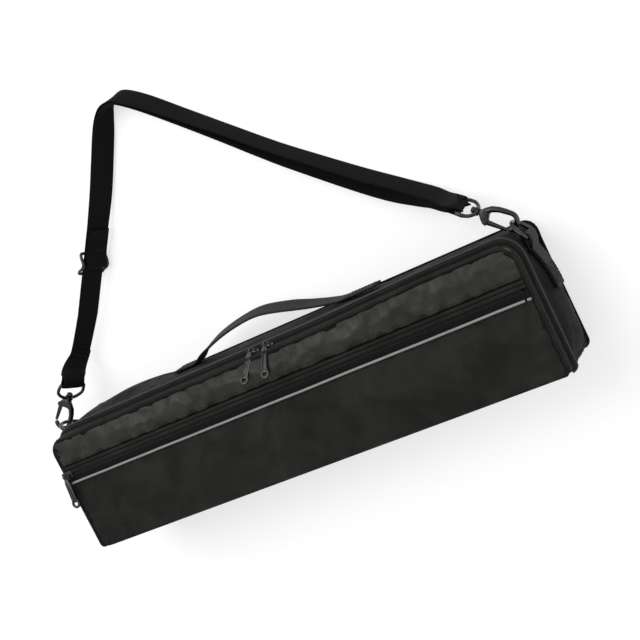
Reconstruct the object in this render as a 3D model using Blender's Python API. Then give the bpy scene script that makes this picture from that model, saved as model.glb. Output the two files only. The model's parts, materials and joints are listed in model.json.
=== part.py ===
"""Padded flute bag on its back: zipped lid with a front pocket, webbing handle and clip-on shoulder strap.

The case lies on its back panel. +X runs along its length, +Y towards the carry handle and +Z out of the front.
The origin is the middle of the back panel's outer face. All sizes are in metres.
"""

import math

import bmesh
import bpy
import numpy as np
from mathutils import Matrix, Vector

# Driving sizes of the case
bag_length = 0.430
bag_height = 0.104
corner_radius = 0.016
lower_corner_radius = 0.009
back_thickness = 0.0050
wall_thickness = 0.0045
lining_thickness = 0.0012
seam_gap = 0.0003
end_swell = 0.0055
top_swell = 0.0024
bottom_swell = 0.0012

# Main zip: seam on the case side, split between the tapes, seam on the lid side
gusset_height = 0.0620
tape_width = 0.0094
zip_split = 0.0016
tape_thickness = 0.0012
split_inset_top = 0.0024
lid_seam_rise = 0.0064
lid_seam_inset_top = 0.0080
lid_seam_inset_end = 0.0012
gusset_piping_radius = 0.0011

# Lid: stiff board, padded upper panel and zipped pocket
hinge_below_split = 0.0013
board_thickness = 0.0035
board_top_inset = 0.0088
panel_end_inset = 0.0028
panel_top_inset = 0.0096
panel_corner_radius = 0.012
panel_edge_height = 0.0034
upper_crown = 0.0042
pocket_crown = 0.0048
pocket_skin = 0.0018
pocket_rim = 0.0045
pocket_seam_below_top = 0.0424
pocket_tape_width = 0.0062
pocket_tape_rise = 0.0003
piping_radius = 0.00125
piping_end_gap = 0.0020
piping_tip_length = 0.0030
lid_lining_inset = 0.0095

# Webbing, shared by the strap, the handle and the ring tabs
webbing_width = 0.0200
webbing_thickness = 0.0013
webbing_gap = 0.0003
handle_thickness = 0.0022
handle_rise = 0.0205
handle_half_span = 0.072
handle_sewn_length = 0.020
handle_middle = -0.0085
handle_height = 0.0310
tab_end_place = 0.0030

# Rings, hooks and loops for the webbing
wire_radius = 0.0014
wire_corner = 0.0009
ring_depth = 0.0150
ring_height = 0.0345
ring_bar_past_end = 0.0022
ring_bar_below_top = 0.0062
right_ring_heading = 122
left_ring_heading = 147
right_hook_heading = -45.5
left_hook_heading = -136
jaw_reach = 0.0263
jaw_end_reach = 0.0240
jaw_radius = 0.0063
jaw_stock_radius = 0.0017
jaw_neck_radius = 0.0019
jaw_nose_radius = 0.0014
nose_angle = -72
cheek_reach = 0.0106
cheek_span = 0.0081
cheek_half_depth = 0.0026
gate_half_depth = 0.0013
gate_half_thickness = 0.0011
gate_pivot_reach = 0.0080
gate_pivot_side = -0.0056
gate_end_reach = 0.0248
gate_end_side = -0.0064
gate_barrel_radius = 0.0020
gate_pin_radius = 0.0008
gate_pin_hole = 0.0011
gate_slot_clearance = 0.0008
post_radius = 0.0015
post_depth = 0.0040
collar_reach = 0.0034
post_hole = 0.0018
boss_radius = 0.0034
boss_half_length = 0.0015
knob_radius = 0.0026
knob_length = 0.0029
loop_bar_reach = 0.0105
running_clearance = 0.0006
cut_overrun = 0.0030

# Sliders and pulls
slider_half_length = 0.0053
slider_half_width = 0.0035
slider_plate = 0.0010
slider_lift = 0.00045
slider_corner = 0.0013
slider_shoulder_place = -0.0020
slider_inner_width = 0.0032
slider_inner_thickness = 0.0009
slider_inner_depth = 0.0014
slider_inner_slope = 0.0007
slider_inner_start = -0.0030
slider_inner_end = 0.0040
pocket_inner_start = 0.0018
slider_post_half_width = 0.0003
slider_post_shift = -0.0004
slider_section_angle = 28
bail_height = 0.0047
bail_radius = 0.0006
bail_half_length = 0.0034
bail_corner = 0.0009
pull_eye_radius = 0.0021
pull_eye_hole = 0.0013
pull_eye_length = 0.0014
pull_length = 0.0275
pull_width = 0.0034
pull_thickness = 0.0015
pull_neck_length = 0.0060
pull_rib_width = 0.0009
pull_rib_spacing = 0.0025
pull_rib_height = 0.0005
pull_ring_radius = 0.0040
pull_hole_radius = 0.0024
left_slider_place = -0.0085
right_slider_place = 0.0050
pocket_slider_past_end = 0.0013
left_pull_lean = 26
right_pull_lean = 12
pocket_pull_lean = 2
main_pull_rise = 32
pocket_pull_rise = 5

# Shoulder strap
strap_rise = 0.200
floor_gap = 0.0003
tri_glide_along_share = 0.158
tri_glide_rise_share = 0.4415
tri_glide_heading = 52
tri_glide_bar_radius = 0.0013
tri_glide_bar_spacing = 0.0090
straight_before_glide = 0.046
strap_lead = 0.0070
strap_lead_drop = 0.0012
left_lead_gap = 0.0038
right_lead_gap = 0.0042
fold_tail_length = 0.032
left_tail_length = 0.036

# Route of the strap between the loops: shares along and of its rise, height in webbing widths, roll in degrees,
# and the gap to the upper layer in layer pitches
left_route_shares = (
    (0.029, 0.062, 1.3, 4, 1.125),
    (0.053, 0.135, 0.625, 3, 1.0),
)
right_route_shares = (
    (0.256, 0.676, 0.15, 5, 1.0625),
    (0.293, 0.79, 0.15, 12, 1.125),
    (0.327, 0.888, 0.2, 38, 1.25),
    (0.355, 0.942, 0.35, 62, 1.375),
    (0.387, 0.968, 0.5, 80, 1.5),
    (0.413, 0.967, 0.5, 80, 1.625),
    (0.441, 0.942, 0.5, 75, 1.875),
    (0.487, 0.856, 0.5, 70, 2.625),
    (0.553, 0.731, 0.5, 68, 3.625),
    (0.647, 0.552, 0.5, 65, 3.75),
    (0.716, 0.427, 0.475, 60, 3.25),
    (0.768, 0.333, 0.45, 50, 2.75),
    (0.822, 0.245, 0.425, 35, 2.125),
    (0.86, 0.165, 0.425, 22, 1.75),
    (0.903, 0.095, 0.425, 14, 1.625),
    (0.945, 0.034, 0.65, 8, 2.0),
)
handle_arch_shares = (
    (-1.0, 0.0),
    (-0.8, 0.27),
    (-0.55, 0.57),
    (-0.26, 0.85),
    (0.0, 1.0),
    (0.3, 0.80),
    (0.6, 0.47),
    (0.82, 0.20),
    (1.0, 0.0),
)

# Outlines of the hardware, as shares of the sizes named beside them
jaw_neck_shares = ((0.146, 0.0), (0.258, 0.35), (0.417, 0.76), (0.625, 0.97))
cheek_shares = (
    (0.208, -0.210),
    (0.208, 0.210),
    (0.585, 0.444),
    (0.849, 0.494),
    (0.962, 0.123),
    (1.000, -0.494),
    (0.981, -0.840),
    (0.830, -1.000),
    (0.623, -0.951),
    (0.396, -0.568),
)
knob_shares = ((0.0, 0.88), (0.12, 1.0), (0.62, 0.96), (0.88, 0.76), (1.0, 0.42))
loop_side_shares = ((0.0, 0.217), (0.057, 0.458), (0.248, 0.767), (0.495, 0.967), (0.743, 1.0), (0.914, 1.0))
fold_tail_shares = ((1.0, 0.0), (0.75, 0.0), (0.5, 0.0), (0.3125, 0.07), (0.1875, 0.38), (0.094, 0.79))
glide_rail_shares = ((1.0, 0.0, 0.0), (0.91, 0.79, 0.05), (0.67, 1.0, 0.26), (0.33, 1.0, 0.77), (0.0, 1.0, 1.0))

# Fabrics and metal: colour and roughness
body_look = ((0.020, 0.021, 0.020), 0.8)
upper_look = ((0.035, 0.037, 0.032), 0.45)
lining_look = ((0.050, 0.050, 0.055), 0.85)
tape_look = ((0.015, 0.015, 0.016), 0.7)
webbing_look = ((0.018, 0.018, 0.020), 0.68)
piping_look = ((0.060, 0.062, 0.060), 0.6)
silver_look = ((0.550, 0.560, 0.570), 0.35)
metal_look = ((0.030, 0.030, 0.032), 0.35)

# Mesh fineness
route_steps = 4
corner_steps = 5
end_steps = 9
top_steps = 11
tube_sides = 8
round_sides = 20

# Derived places
half_length = bag_length / 2
half_height = bag_height / 2
half_webbing = webbing_width / 2
split_height = gusset_height + tape_width
hinge_height = split_height - hinge_below_split
lid_seam_height = split_height + lid_seam_rise
board_bottom = hinge_height + seam_gap
board_top = board_bottom + board_thickness
panel_bottom = board_top + seam_gap
panel_edge = panel_bottom + panel_edge_height
lid_reach = half_length - panel_end_inset
end_low = -half_height + lower_corner_radius
end_high = half_height - corner_radius
top_reach = half_length - corner_radius
bottom_reach = half_length - lower_corner_radius
hinge_place = Vector((0, -half_height, hinge_height + seam_gap / 2))
pocket_tape_top = panel_edge + pocket_tape_rise
pocket_seam_place = half_height - pocket_seam_below_top
pocket_lower_tape_place = pocket_seam_place + seam_gap
pocket_split_low = pocket_lower_tape_place + pocket_tape_width
pocket_split_high = pocket_split_low + zip_split
upper_panel_low = pocket_split_high + pocket_tape_width + seam_gap
pocket_slider_place = -lid_reach - pocket_slider_past_end
pocket_zip_centre = (pocket_split_low + pocket_split_high) / 2
wire_half_width = half_webbing + running_clearance + wire_radius
turn_radius = wire_radius + webbing_gap + webbing_thickness / 2
layer_pitch = webbing_thickness + webbing_gap


def clear_scene():
    """Remove every object so that the script can be run again."""
    for item in list(bpy.data.objects):
        bpy.data.objects.remove(item, do_unlink=True)


def finish(name, colour, roughness, metallic=0.0):
    """Make a Principled material with one plain colour."""
    material = bpy.data.materials.new(name)
    material.use_nodes = True
    shader = material.node_tree.nodes["Principled BSDF"]
    shader.inputs["Base Color"].default_value = (*colour, 1.0)
    shader.inputs["Roughness"].default_value = roughness
    shader.inputs["Metallic"].default_value = metallic
    return material


def add_object(name, mesh, material, smooth_angle=40):
    """Link a mesh as a named object with its own material."""
    item = bpy.data.objects.new(name, mesh)
    bpy.context.scene.collection.objects.link(item)
    mesh.materials.clear()
    mesh.materials.append(material)
    mesh.shade_smooth()
    mesh.set_sharp_from_angle(angle=math.radians(smooth_angle))
    return item


def mesh_from_rings(name, rings, closed=False):
    """Skin a list of equal rings of points into one closed mesh, with flat caps unless it closes on itself."""
    bm = bmesh.new()
    loops = [[bm.verts.new(Vector(point)) for point in ring] for ring in rings]
    count = len(loops[0])
    pairs = list(zip(loops, loops[1:]))
    if closed:
        pairs.append((loops[-1], loops[0]))
    for first, second in pairs:
        for i in range(count):
            j = (i + 1) % count
            bm.faces.new((first[i], first[j], second[j], second[i]))
    if not closed:
        bm.faces.new(loops[0])
        bm.faces.new(loops[-1])
    bmesh.ops.recalc_face_normals(bm, faces=bm.faces)
    mesh = bpy.data.meshes.new(name)
    bm.to_mesh(mesh)
    bm.free()
    return mesh


def loft(name, rings, material, closed=False, smooth_angle=40):
    """Add a named solid skinned from rings."""
    return add_object(name, mesh_from_rings(name, rings, closed), material, smooth_angle)


def fuse(name, meshes, material, cutters=(), placement=None, smooth_angle=40):
    """Unite several meshes into one solid, cut the cutters from it and place it."""
    base = bpy.data.objects.new(name + "_base", meshes[0])
    bpy.context.scene.collection.objects.link(base)
    helpers = [base]
    steps = [(mesh, "UNION") for mesh in meshes[1:]] + [(mesh, "DIFFERENCE") for mesh in cutters]
    for mesh, operation in steps:
        helper = bpy.data.objects.new(name + "_helper", mesh)
        bpy.context.scene.collection.objects.link(helper)
        helpers.append(helper)
        step = base.modifiers.new(operation, "BOOLEAN")
        step.operation = operation
        step.solver = "EXACT"
        step.object = helper
    bpy.context.view_layer.update()
    graph = bpy.context.evaluated_depsgraph_get()
    result = bpy.data.meshes.new_from_object(base.evaluated_get(graph))
    for helper in helpers:
        bpy.data.objects.remove(helper, do_unlink=True)
    if placement is not None:
        result.transform(placement)
    result.name = name
    return add_object(name, result, material, smooth_angle)


def cylinder_mesh(start, end, radius, sides=16):
    """A closed round bar between two points."""
    start = Vector(start)
    end = Vector(end)
    bm = bmesh.new()
    bmesh.ops.create_cone(
        bm,
        cap_ends=True,
        segments=sides,
        radius1=radius,
        radius2=radius,
        depth=(end - start).length,
    )
    turn = Vector((0, 0, 1)).rotation_difference(end - start).to_matrix().to_4x4()
    bm.transform(Matrix.Translation((start + end) / 2) @ turn)
    mesh = bpy.data.meshes.new("bar")
    bm.to_mesh(mesh)
    bm.free()
    return mesh


def lathe_mesh(profile, sides=16):
    """A round solid about X from a profile of places along it and radii."""
    turns = [2 * math.pi * k / sides for k in range(sides)]
    rings = [[(x, r * math.cos(a), r * math.sin(a)) for a in turns] for x, r in profile]
    return mesh_from_rings("lathe", rings)


def plate_mesh(outline, low, high):
    """A flat plate with the given outline in X and Y, between two heights."""
    bottom = [(x, y, low) for x, y in outline]
    top = [(x, y, high) for x, y in outline]
    return mesh_from_rings("plate", [bottom, top])


def tube_mesh(points, radii, closed=False, sides=tube_sides):
    """A round tube through the points, with one radius or one for each point."""
    points = [Vector(point) for point in points]
    if not isinstance(radii, (list, tuple)):
        radii = [radii] * len(points)
    count = len(points)
    rings = []
    side = None
    for i, point in enumerate(points):
        before = points[i - 1] if closed or i > 0 else point
        after = points[(i + 1) % count] if closed or i < count - 1 else point
        tangent = (after - before).normalized()
        if side is None:
            guide = Vector((0, 0, 1)) if abs(tangent.z) < math.cos(math.radians(30)) else Vector((1, 0, 0))
            side = tangent.cross(guide)
        side = (side - tangent * side.dot(tangent)).normalized()
        up = tangent.cross(side)
        turns = [2 * math.pi * k / sides for k in range(sides)]
        rings.append([point + (side * math.cos(a) + up * math.sin(a)) * radii[i] for a in turns])
    return mesh_from_rings("tube", rings, closed)


def fullness(share):
    """How far a padded side swells along its length: nothing at its ends and level over the middle."""
    return 1 - abs(2 * share - 1) ** 3


def arch(share):
    """Swell across a side, from nothing at one seam to nothing at the other."""
    return math.sin(math.pi * min(max(share, 0), 1))


def side_stations(start=0.0):
    """Places round the ends and the top: point, outward normal, and shares of the end's and the top's swell."""
    stations = []
    for y in np.linspace(end_low + start, end_high, end_steps)[:-1]:
        share = (y - end_low) / (end_high - end_low)
        stations.append((-half_length, y, -1.0, 0.0, fullness(share), 0.0))
    for turn in np.linspace(math.pi, math.pi / 2, corner_steps + 1):
        x = -top_reach + corner_radius * math.cos(turn)
        y = end_high + corner_radius * math.sin(turn)
        stations.append((x, y, math.cos(turn), math.sin(turn), 0.0, 0.0))
    mirrored = [(-x, y, -nx, ny, end, top) for x, y, nx, ny, end, top in reversed(stations)]
    for x in np.linspace(-top_reach, top_reach, top_steps)[1:-1]:
        stations.append((x, half_height, 0.0, 1.0, 0.0, fullness((x + top_reach) / (2 * top_reach))))
    return stations + mirrored


def bottom_stations(start=0.0):
    """Places along the underside, from one lower corner to the other."""
    stations = []
    for turn in np.linspace(math.pi + start / lower_corner_radius, 1.5 * math.pi, corner_steps):
        x = -bottom_reach + lower_corner_radius * math.cos(turn)
        y = end_low + lower_corner_radius * math.sin(turn)
        stations.append((x, y, math.cos(turn), math.sin(turn), 0.0, 0.0))
    mirrored = [(-x, y, -nx, ny, end, top) for x, y, nx, ny, end, top in reversed(stations)]
    for x in np.linspace(-bottom_reach, bottom_reach, top_steps)[1:-1]:
        stations.append((x, -half_height, 0.0, -1.0, 0.0, fullness((x + bottom_reach) / (2 * bottom_reach))))
    return stations + mirrored


def ring_at(station, profile):
    """Place a profile of distances out of the wall and heights at a station."""
    x, y, nx, ny = station[:4]
    return [(x + nx * out, y + ny * out, height) for out, height in profile]


def shoulder_inset(station, height):
    """How far the rounded shoulder that carries the zip leans in at a height."""
    if height < split_height:
        top = split_inset_top * (height - gusset_height) / tape_width
    else:
        top = split_inset_top + (lid_seam_inset_top - split_inset_top) * (height - split_height) / lid_seam_rise
    end = lid_seam_inset_end * (height - gusset_height) / (lid_seam_height - gusset_height)
    return top * station[3] ** 2 + end * station[2] ** 2


def low_edge(x, reach, inset=0.0, radius=lower_corner_radius):
    """Lower edge of a panel's outline at a place along its length."""
    over = max(0.0, abs(x) - (reach - radius))
    return -half_height + inset + radius - math.sqrt(max(radius**2 - over**2, 0))


def high_edge(x, reach, inset=0.0, radius=corner_radius):
    """Upper edge of a panel's outline at a place along its length."""
    over = max(0.0, abs(x) - (reach - radius))
    return half_height - inset - radius + math.sqrt(max(radius**2 - over**2, 0))


def length_columns(reach, radii, count=9, extra=()):
    """Places along the length for a panel, closer together round its corners."""
    places = set(np.linspace(-1, 1, count) * (reach - max(radii)))
    for radius in radii:
        for turn in (22.5, 45, 67.5, 90):
            place = reach - radius + radius * math.sin(math.radians(turn))
            places |= {place, -place}
    places |= set(extra)
    ordered = []
    for place in sorted(places):
        if not ordered or place - ordered[-1] > seam_gap / 2:
            ordered.append(place)
    return ordered


def panel(name, columns, low, high, rows, front, back, material):
    """A panel between two edge curves; rows are (share, offset) across it, front and back give its heights."""
    rings = []
    for x in columns:
        bottom = low(x)
        top = high(x)
        places = [bottom + (top - bottom) * share + offset for share, offset in rows]
        ring = [(x, y, front(x, y, i)) for i, y in enumerate(places)]
        ring += [(x, y, back(x, y, i)) for i, y in reversed(list(enumerate(places)))]
        rings.append(ring)
    return loft(name, rings, material)


def ribbon_mesh(points, widths, thickness=webbing_thickness, width=webbing_width):
    """A flat webbing along the points; each width vector points across it."""
    points = [Vector(point) for point in points]
    rings = []
    for i, point in enumerate(points):
        before = points[max(i - 1, 0)]
        after = points[min(i + 1, len(points) - 1)]
        tangent = (after - before).normalized()
        across = Vector(widths[i])
        across = (across - tangent * across.dot(tangent)).normalized() * (width / 2)
        through = across.cross(tangent).normalized() * (thickness / 2)
        corners = ((1, 1), (-1, 1), (-1, -1), (1, -1))
        rings.append([point + across * a + through * t for a, t in corners])
    return mesh_from_rings("webbing", rings)


def smooth_curve(points, steps=route_steps):
    """Read a Catmull-Rom curve through the points; each point may carry more values after its place."""
    points = [np.array(point, dtype=float) for point in points]
    padded = [2 * points[0] - points[1], *points, 2 * points[-1] - points[-2]]
    places = []
    for p0, p1, p2, p3 in zip(padded, padded[1:], padded[2:], padded[3:]):
        for k in range(steps):
            t = k / steps
            bend = (2 * p0 - 5 * p1 + 4 * p2 - p3) * t**2 + (3 * p1 - p0 - 3 * p2 + p3) * t**3
            places.append((2 * p1 + (p2 - p0) * t + bend) / 2)
    places.append(points[-1])
    return places


def heading(degrees):
    """Unit vector lying flat, at an angle from +X."""
    return Vector((math.cos(math.radians(degrees)), math.sin(math.radians(degrees)), 0))


def flat_frame(origin, along):
    """Frame whose first axis lies flat along a heading and whose third points up."""
    across = Vector((0, 0, 1)).cross(along)
    turn = Matrix((along, across, (0, 0, 1))).transposed().to_4x4()
    return Matrix.Translation(origin) @ turn


def build_back_panel(material):
    """Flat padded back that the case lies on."""
    columns = length_columns(half_length, (corner_radius, lower_corner_radius))
    rows = [(share, 0) for share in np.linspace(0, 1, 5)]
    return panel(
        "back_panel",
        columns,
        lambda x: low_edge(x, half_length),
        lambda x: high_edge(x, half_length),
        rows,
        lambda x, y, i: back_thickness,
        lambda x, y, i: 0.0,
        material,
    )


def wall_ring(station, top, swell):
    """Cross-section of a padded side at a station, swollen over its middle."""
    heights = np.linspace(back_thickness + seam_gap, top, 9)
    outer = [(swell * arch((z - back_thickness) / (top - back_thickness)), z) for z in heights]
    inner = [(-wall_thickness, top), (-wall_thickness, back_thickness + seam_gap)]
    return ring_at(station, outer + inner)


def build_gusset_band(material):
    """Padded side that runs up one end, along the top and down the other end."""
    rings = []
    for station in side_stations(seam_gap):
        swell = end_swell * station[4] + top_swell * station[5]
        rings.append(wall_ring(station, gusset_height, swell))
    return loft("gusset_band", rings, material)


def build_bottom_panel(material):
    """Padded side along the bottom, up to the lid's hinge."""
    rings = [wall_ring(st, hinge_height, bottom_swell * st[5]) for st in bottom_stations(seam_gap)]
    return loft("bottom_panel", rings, material)


def build_wall_lining(material):
    """Thin lining round the inside of all four sides."""
    outer = -wall_thickness - seam_gap
    inner = outer - lining_thickness
    low = back_thickness + seam_gap
    high = gusset_height - seam_gap
    profile = [(outer, low), (outer, high), (inner, high), (inner, low)]
    stations = side_stations() + list(reversed(bottom_stations()))[1:-1]
    return loft("wall_lining", [ring_at(st, profile) for st in stations], material, closed=True)


def build_floor_lining(material):
    """Thin lining over the inside of the back."""
    inset = wall_thickness + lining_thickness + 3 * seam_gap
    reach = half_length - inset
    upper = corner_radius - inset
    lower = lower_corner_radius - inset
    low = back_thickness + seam_gap
    return panel(
        "floor_lining",
        length_columns(reach, (upper, lower)),
        lambda x: low_edge(x, reach, inset, lower),
        lambda x: high_edge(x, reach, inset, upper),
        [(0, 0), (1, 0)],
        lambda x, y, i: low + lining_thickness,
        lambda x, y, i: low,
        material,
    )


def tape_ring(station, heights):
    """Cross-section of a zip tape at a station."""
    outer = [(-shoulder_inset(station, z), z) for z in heights]
    inner = [(out - tape_thickness, z) for out, z in reversed(outer)]
    return ring_at(station, outer + inner)


def build_base_zip_tape(material):
    """Zip tape sewn to the case."""
    heights = np.linspace(gusset_height + seam_gap, split_height - zip_split / 2, 3)
    return loft("base_zip_tape", [tape_ring(st, heights) for st in side_stations(seam_gap)], material)


def build_lid_zip_tape(material):
    """Zip tape sewn to the lid, over the rounded shoulder."""
    heights = np.linspace(split_height + zip_split / 2, lid_seam_height, 3)
    return loft("lid_zip_tape", [tape_ring(st, heights) for st in side_stations(seam_gap)], material)


def build_gusset_piping(material):
    """Round cord along the seam between the side and the zip."""
    out = gusset_piping_radius + 1.5 * seam_gap
    height = gusset_height - seam_gap
    points = [ring_at(st, [(out, height)])[0] for st in side_stations(seam_gap)]
    return add_object("gusset_piping", tube_mesh(points, gusset_piping_radius), material)


def lid_low(x):
    """Lower edge of the lid."""
    return low_edge(x, lid_reach)


def build_lid_board(material):
    """Stiff board inside the lid."""
    return panel(
        "lid_board",
        length_columns(lid_reach, (panel_corner_radius, lower_corner_radius)),
        lid_low,
        lambda x: high_edge(x, lid_reach, board_top_inset, panel_corner_radius),
        [(0, 0), (1, 0)],
        lambda x, y, i: board_top,
        lambda x, y, i: board_bottom,
        material,
    )


def build_lid_lining(material):
    """Thin lining under the lid's board."""
    reach = half_length - lid_lining_inset
    return panel(
        "lid_lining",
        length_columns(reach, (panel_corner_radius, lower_corner_radius)),
        lambda x: low_edge(x, reach, lid_lining_inset),
        lambda x: high_edge(x, reach, lid_lining_inset, panel_corner_radius),
        [(0, 0), (1, 0)],
        lambda x, y, i: hinge_height,
        lambda x, y, i: hinge_height - lining_thickness,
        material,
    )


def build_upper_front_panel(material):
    """Padded panel of the lid above the pocket's zip."""
    def high(x):
        return high_edge(x, lid_reach, panel_top_inset, panel_corner_radius)

    def front(x, y, i):
        crown = arch((y - upper_panel_low) / (high(x) - upper_panel_low))
        return panel_edge + upper_crown * crown * fullness((x + lid_reach) / (2 * lid_reach))

    return panel(
        "upper_front_panel",
        length_columns(lid_reach, (panel_corner_radius,), 15),
        lambda x: upper_panel_low,
        high,
        [(share, 0) for share in np.linspace(0, 1, 8)],
        front,
        lambda x, y, i: panel_bottom,
        material,
    )


def build_pocket_panel(material):
    """Front of the zipped pocket: a shallow shell sewn down along three sides."""
    cavity_reach = lid_reach - pocket_rim
    step = seam_gap
    walls = (cavity_reach, -cavity_reach, cavity_reach - step, step - cavity_reach)

    def front(x, y, i):
        crown = arch((y - lid_low(x)) / (pocket_seam_place - lid_low(x)))
        return panel_edge + pocket_crown * crown * fullness((x + lid_reach) / (2 * lid_reach))

    def back(x, y, i):
        inside = abs(x) < cavity_reach and i >= 2
        return front(x, y, i) - pocket_skin if inside else panel_bottom

    return panel(
        "pocket_panel",
        length_columns(lid_reach, (lower_corner_radius,), 15, walls),
        lid_low,
        lambda x: pocket_seam_place,
        [(0, 0), (0, pocket_rim), (0, pocket_rim + step), *((share, 0) for share in np.linspace(0.2, 1, 8))],
        front,
        back,
        material,
    )


def build_pocket_zip_tapes(materials):
    """Two tapes of the pocket's zip, above and below its split."""
    names = ("pocket_zip_lower_tape", "pocket_zip_upper_tape")
    tapes = []
    for name, low, material in zip(names, (pocket_lower_tape_place, pocket_split_high), materials):
        high = low + pocket_tape_width
        outline = [(-lid_reach, low), (lid_reach, low), (lid_reach, high), (-lid_reach, high)]
        mesh = plate_mesh(outline, pocket_tape_top - tape_thickness, pocket_tape_top)
        tapes.append(add_object(name, mesh, material))
    return tapes


def build_reflective_piping(material, tip_material):
    """Silver piping along the pocket's upper seam, with a short tip past its end stitch."""
    height = pocket_tape_top + seam_gap + piping_radius
    tip = lid_reach - piping_tip_length
    spans = (
        ("reflective_piping", -lid_reach, tip - piping_end_gap, material),
        ("piping_tip", tip, lid_reach, tip_material),
    )
    cords = []
    for name, low, high, finish_used in spans:
        points = [(x, pocket_seam_place, height) for x in np.linspace(low, high, 8)]
        cords.append(add_object(name, tube_mesh(points, piping_radius, sides=10), finish_used))
    return cords


def build_carry_handle(material):
    """Webbing handle sewn to the top at both ends, with its middle standing up in an arch."""
    base = half_height + top_swell + seam_gap + handle_thickness / 2
    keys = []
    for share, rise in handle_arch_shares:
        keys.append((handle_middle + share * handle_half_span, base + rise * handle_rise))
    sewn = handle_half_span + handle_sewn_length
    keys = [(handle_middle - sewn, base), *keys, (handle_middle + sewn, base)]
    points = [(x, max(y, base), handle_height) for x, y in smooth_curve(keys, 3)]
    mesh = ribbon_mesh(points, [(0, 0, 1)] * len(points), handle_thickness)
    return add_object("carry_handle", mesh, material)


def end_surface(y):
    """Where the padded end stands at a place up its height, straight part and corner alike."""
    if y <= end_high:
        return half_length + end_swell * fullness((y - end_low) / (end_high - end_low))
    return top_reach + math.sqrt(max(corner_radius**2 - (y - end_high) ** 2, 0))


def ring_bar(side):
    """Middle of a ring's straight bar; side is 1 at the right end and -1 at the left."""
    return Vector((side * (half_length + ring_bar_past_end), half_height - ring_bar_below_top, ring_height))


def build_ring_tab(name, side, material):
    """Folded webbing that is sewn to an end and holds its ring."""
    bar = ring_bar(1)
    inner = webbing_gap + webbing_thickness / 2
    outer = inner + layer_pitch
    heights = np.linspace(tab_end_place, end_high, 8)
    path = [(end_surface(y) + outer, y) for y in heights]
    path.append((bar.x + turn_radius, (end_high + bar.y) / 2))
    turns = np.linspace(0, math.pi, 9)
    path += [(bar.x + turn_radius * math.cos(a), bar.y + turn_radius * math.sin(a)) for a in turns]
    beyond = (end_high + bar.y) / 2
    path.append((end_surface(beyond) + inner + webbing_gap, beyond))
    path += [(end_surface(y) + inner, y) for y in reversed(heights)]
    points = [(side * x, y, ring_height) for x, y in path]
    return add_object(name, ribbon_mesh(points, [(0, 0, 1)] * len(points)), material)


def build_ring(name, side, degrees, material):
    """D-shaped wire ring, hinged on its straight bar."""
    bar = ring_bar(side)
    along = heading(degrees)
    turns = np.linspace(math.radians(7), math.radians(173), 15)
    path = [(ring_depth * math.sin(a), wire_half_width * math.cos(a)) for a in turns]
    bar_end = wire_half_width - wire_corner
    path += [(0, -bar_end), (0, 0), (0, bar_end)]
    points = [bar + along * out + Vector((0, 0, up)) for out, up in path]
    return moved(add_object(name, tube_mesh(points, wire_radius, closed=True), material), bar)


def moved(item, pivot):
    """Put an object's origin on its joint without moving its shape."""
    item.data.transform(Matrix.Translation(-pivot))
    item.location = pivot
    return item


def ring_crossing(side, degrees):
    """Middle of a ring's round side, where the hook holds it."""
    return ring_bar(side) + heading(degrees) * ring_depth


def hook_frame(side):
    """Frame of a hook: origin in its swivel, first axis along the hook, third axis up."""
    ring_degrees = right_ring_heading if side > 0 else left_ring_heading
    along = heading(right_hook_heading if side > 0 else left_hook_heading)
    return flat_frame(ring_crossing(side, ring_degrees) - along * jaw_reach, along)


def jaw_mesh():
    """Round jaw of a hook: it leaves the cheeks, bends round the ring and tapers to its nose."""
    path = [(along * jaw_end_reach, out * jaw_radius) for along, out in jaw_neck_shares]
    turns = np.linspace(math.pi / 2, math.radians(nose_angle), 12)
    path += [(jaw_end_reach + jaw_radius * math.cos(a), jaw_radius * math.sin(a)) for a in turns]
    radii = [jaw_neck_radius] * len(jaw_neck_shares) + [jaw_stock_radius] * len(turns)
    radii[-1] = jaw_nose_radius
    return tube_mesh([(x, y, 0) for x, y in path], radii, sides=10)


def build_hook(name, side, material):
    """Snap hook: round jaw, slotted cheeks with the gate's pin, and a post with its knob behind the swivel."""
    outline = [(along * cheek_reach, across * cheek_span) for along, across in cheek_shares]
    cheeks = plate_mesh(outline, -cheek_half_depth, cheek_half_depth)
    knob_start = -boss_half_length - seam_gap
    post = cylinder_mesh((knob_start - knob_length / 2, 0, 0), (post_depth, 0, 0), post_radius)
    collar = cylinder_mesh((-knob_start, 0, 0), (collar_reach, 0, 0), knob_radius)
    knob = lathe_mesh([(knob_start - along * knob_length, out * knob_radius) for along, out in knob_shares])
    slot_half = gate_half_depth + seam_gap
    low = gate_pivot_reach - gate_barrel_radius - gate_slot_clearance
    high = cheek_reach + cut_overrun
    bottom = -cheek_span - cut_overrun
    top = gate_pivot_side + gate_barrel_radius + gate_slot_clearance
    slot = plate_mesh([(low, bottom), (high, bottom), (high, top), (low, top)], -slot_half, slot_half)
    item = fuse(name, [jaw_mesh(), cheeks, post, collar, knob], material, [slot])
    pin_place = Vector((gate_pivot_reach, gate_pivot_side, 0))
    half = Vector((0, 0, cheek_half_depth - seam_gap))
    pin = cylinder_mesh(pin_place - half, pin_place + half, gate_pin_radius, 12)
    shape = item.data.copy()
    bpy.data.objects.remove(item, do_unlink=True)
    frame = hook_frame(side)
    item = fuse(name, [shape, pin], material, placement=frame)
    return moved(item, frame.translation)


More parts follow.
